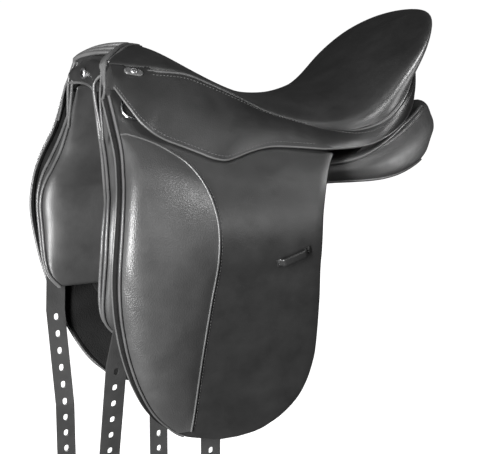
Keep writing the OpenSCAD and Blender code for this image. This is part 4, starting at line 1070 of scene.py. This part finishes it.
def build_gullet_lining():
    """Leather under the arch of the head, turned up in front of the wooden head and the plate."""
    leg_long = 58

    def arch(x, d, f):
        r = SIDE_Y * cos(SLOPE) + (SIDE_Z - ARCH_Z) * sin(SLOPE) + d
        leg = max(abs(f) - 1, 0) * leg_long
        a = pi / 2 - min(max(f, -1), 1) * (pi / 2 - SLOPE)
        k = copysign(1, f)
        return vec(x, r * cos(a) + k * leg * sin(SLOPE),
                   ARCH_Z + r * sin(a) - leg * cos(SLOPE))

    fs = np.linspace(-2, 2, 81)
    fold = [(-140, -31), (-160, -31), (-175, -31), (-177.5, -29), (-178.5, -25), (-178.5, -18), (-177.5, -11)]
    skin = slab(*([[arch(x + t, d + t, f) for f in fs] for x, d in fold] for t in (0, 1.2)))
    piece("gullet_lining", skin, LINING, 1)


def build_stud():
    """Head stud: a bright ring round a dark dome."""
    m = frame_of(vec(-1, 0, 0), vec(0, 0, 1), facing_at(4, 0, 0) - vec(1.5, 0, 0))
    ring = [(4.3, -1.2), (6.8, -1.2), (6.8, 0.5), (6.4, 1.3), (5.9, 1.6), (5.3, 1.5), (4.7, 1.1), (4.3, 0.6)]
    lathe("head_stud_ring", ring, m, SATIN, "head_stud")
    r, foot, rise = 4.6, 0.8, 2.2
    crown = [(r * cos(q), foot + rise * sin(q)) for q in np.linspace(0.15, 1.5, 9)]
    dome = [(0.01, -1.0), (r, -1.0), (r, foot)] + crown + [(0.01, foot + rise)]
    lathe("head_stud_dome", dome, m, GLOSS)


def build_rear_gusset():
    """Leather from the strip round the cantle down to the panels."""
    half = [sheet_at(s, 0.96, -0.6) for s in np.linspace(9.2, SEAT_END, 60)]
    line = [p * MIRROR for p in half] + half[-2::-1]
    foot = [vec(p[0] - 6, 0.84 * p[1], min(84, p[2] - 18)) for p in line]
    rows = [[mix(p, low, f) for p, low in zip(line, foot)] for f in np.linspace(0, 1, 8)]
    piece("rear_gusset", slab(rows, [[p - vec(1.8, 0, 0) for p in r] for r in rows]), PANEL, 1)


def build_welt():
    half = [welt_at(s) for s in np.linspace(1.5, 14.6, 120)]
    path = [p * MIRROR for p in half] + [welt_at(SEAT_END) * vec(1, 0, 1)] + half[::-1]
    tube("seat_welt_piping", path, 2.5, PIPE, nodes=["seat_welt"])


for k, word in SIDES:
    build_skirt(k, word)
    build_flap(k, word)
    build_panel(k, word)
    build_small(k, word)
build_facing()
build_gullet_lining()
build_stud()
build_rear_gusset()
build_welt()

# CAD nodes that stay in view get their finish and a small rounding of their edges, in metres
FINISH = {WOOD: ("tree_head", "tree_rail_", "tree_cantle"),
          STEEL: ("gullet_plate", "tree_rivets", "billet_rivets_"),
          CHROME: ("stirrup_bar_", "bar_catch_", "catch_pin_", "dee_ring_", "dee_rivet_"),
          STRAP: ("front_billet_", "rear_billet_"), PANEL: ("panel_front_bridge", "panel_rear_bridge"),
          WEB: ("girth_web_",), SMOOTH: ("dee_chape_",)}
ROUND = {0.0005: ("dee_chape_",), 0.0006: ("girth_web_", "stirrup_bar_"),
         0.0008: ("front_billet_", "rear_billet_"), 0.0015: ("tree_head",), 0.004: ("tree_cantle",)}
for node, obj in frame["nodes"].items():
    for finish, starts in FINISH.items():
        if node.startswith(starts):
            obj.data.materials.clear()
            obj.data.materials.append(finish)
    for width, starts in ROUND.items():
        if node.startswith(starts):
            b = obj.modifiers.new("round", "BEVEL")
            b.width, b.segments, b.limit_method, b.angle_limit = width, 2, "ANGLE", radians(50)


# Camera, light and floor
def look(obj, target):
    obj.rotation_mode = "QUATERNION"
    obj.rotation_quaternion = (Vector(target) - obj.location).to_track_quat("-Z", "Y")


# the view of the photograph, which is 484 pixels wide
AZIMUTH, ELEVATION, DISTANCE = radians(-24.0), radians(12.5), 1.7
PHOTO_WIDE, SHIFT = 484, (7, -2)
aim = Vector((0, 0, -0.062))
camera = bpy.data.objects.new("camera", bpy.data.cameras.new("camera"))
scene.collection.objects.link(camera)
camera.location = aim + DISTANCE * Vector((sin(AZIMUTH) * cos(ELEVATION),
                                           -cos(AZIMUTH) * cos(ELEVATION), sin(ELEVATION)))
look(camera, aim)
camera.data.sensor_width = 36
camera.data.lens = 97.27
camera.data.shift_x, camera.data.shift_y = (v / PHOTO_WIDE for v in SHIFT)
camera.data.clip_end = 60
scene.camera = camera

# area lights: place, target and size in metres, power in watts
LIGHTS = {"key": ((-1.75, -1.3, 0.1), (-0.05, -0.05, -0.1), (0.32, 2.6), 129),
          "right": ((1.5, -0.95, 1.0), (0.15, -0.05, 0.05), (0.6, 0.6), 13),
          "low": ((1.5, -0.5, -0.33), (0.2, -0.1, 0.1), (0.9, 0.4), 7),
          "rim": ((1.35, -1.5, 0.7), (0.15, -0.1, 0.1), (1.7, 0.4), 52),
          "front": ((0.95, -2.3, 0.3), (0.1, 0, -0.05), (1.0, 1.1), 6.7),
          "top": ((0.2, -1.2, 2.2), (0, -0.1, 0), (1.0, 0.7), 4.4),
          "back": ((0.4, 2.4, 0.3), (0, 0, -0.1), (2.0, 1.2), 85)}
# three of them are flagged off all but the seat, the rear panels or the right-hand side
FLAGGED = {"low": ["seat_cover_leather", "panel_left_cushion", "panel_right_cushion"],
           "rim": ["seat_cover_leather"],
           "back": [o.name for o in scene.objects if "_right" in o.name and "panel_" not in o.name]}
for name, (place, target, (wide, high), power) in LIGHTS.items():
    lamp = bpy.data.lights.new(name, "AREA")
    lamp.shape = "RECTANGLE"
    lamp.size, lamp.size_y, lamp.energy = wide, high, power
    light = bpy.data.objects.new(name, lamp)
    light.location = place
    look(light, target)
    scene.collection.objects.link(light)
    if name in FLAGGED:
        lit = bpy.data.collections.new(name + "_receivers")
        for receiver in FLAGGED[name]:
            lit.objects.link(bpy.data.objects[receiver])
        light.light_linking.receiver_collection = lit

# the room is dim, but its far wall is as white as the floor
world = bpy.data.worlds.new("studio")
scene.world = world
world.use_nodes = True
nodes, links = world.node_tree.nodes, world.node_tree.links
room, wall, either = nodes["Background"], nodes.new("ShaderNodeBackground"), nodes.new("ShaderNodeMixShader")
for i, (shade, strength) in enumerate(((room, 0.035), (wall, 1.0))):
    shade.inputs["Color"].default_value = (1, 1, 1, 1)
    shade.inputs["Strength"].default_value = strength
    links.new(shade.outputs[0], either.inputs[1 + i])
links.new(nodes.new("ShaderNodeLightPath").outputs["Is Camera Ray"], either.inputs["Fac"])
links.new(either.outputs[0], nodes["World Output"].inputs["Surface"])
scene.view_settings.view_transform = "Standard"

paper = Shader("floor_paper")
paper.ramp("Base Color", paper.noise(3.0), (0.3, grey(0.93)), (0.7, grey(0.96)))
paper.inputs["Roughness"].default_value = 0.9
paper.inputs["Emission Color"].default_value = (1, 1, 1, 1)
paper.inputs["Emission Strength"].default_value = 1.0
FLOOR_Z, NEAR, FAR = -0.449, 20000, 40000
floor = make("floor", [(-NEAR, -NEAR, 0), (NEAR, -NEAR, 0), (NEAR, FAR, 0), (-NEAR, FAR, 0)], [(0, 1, 2, 3)],
             paper.material, sharp=None)
floor.location.z = FLOOR_Z
floor.visible_diffuse = floor.visible_glossy = floor.visible_shadow = False
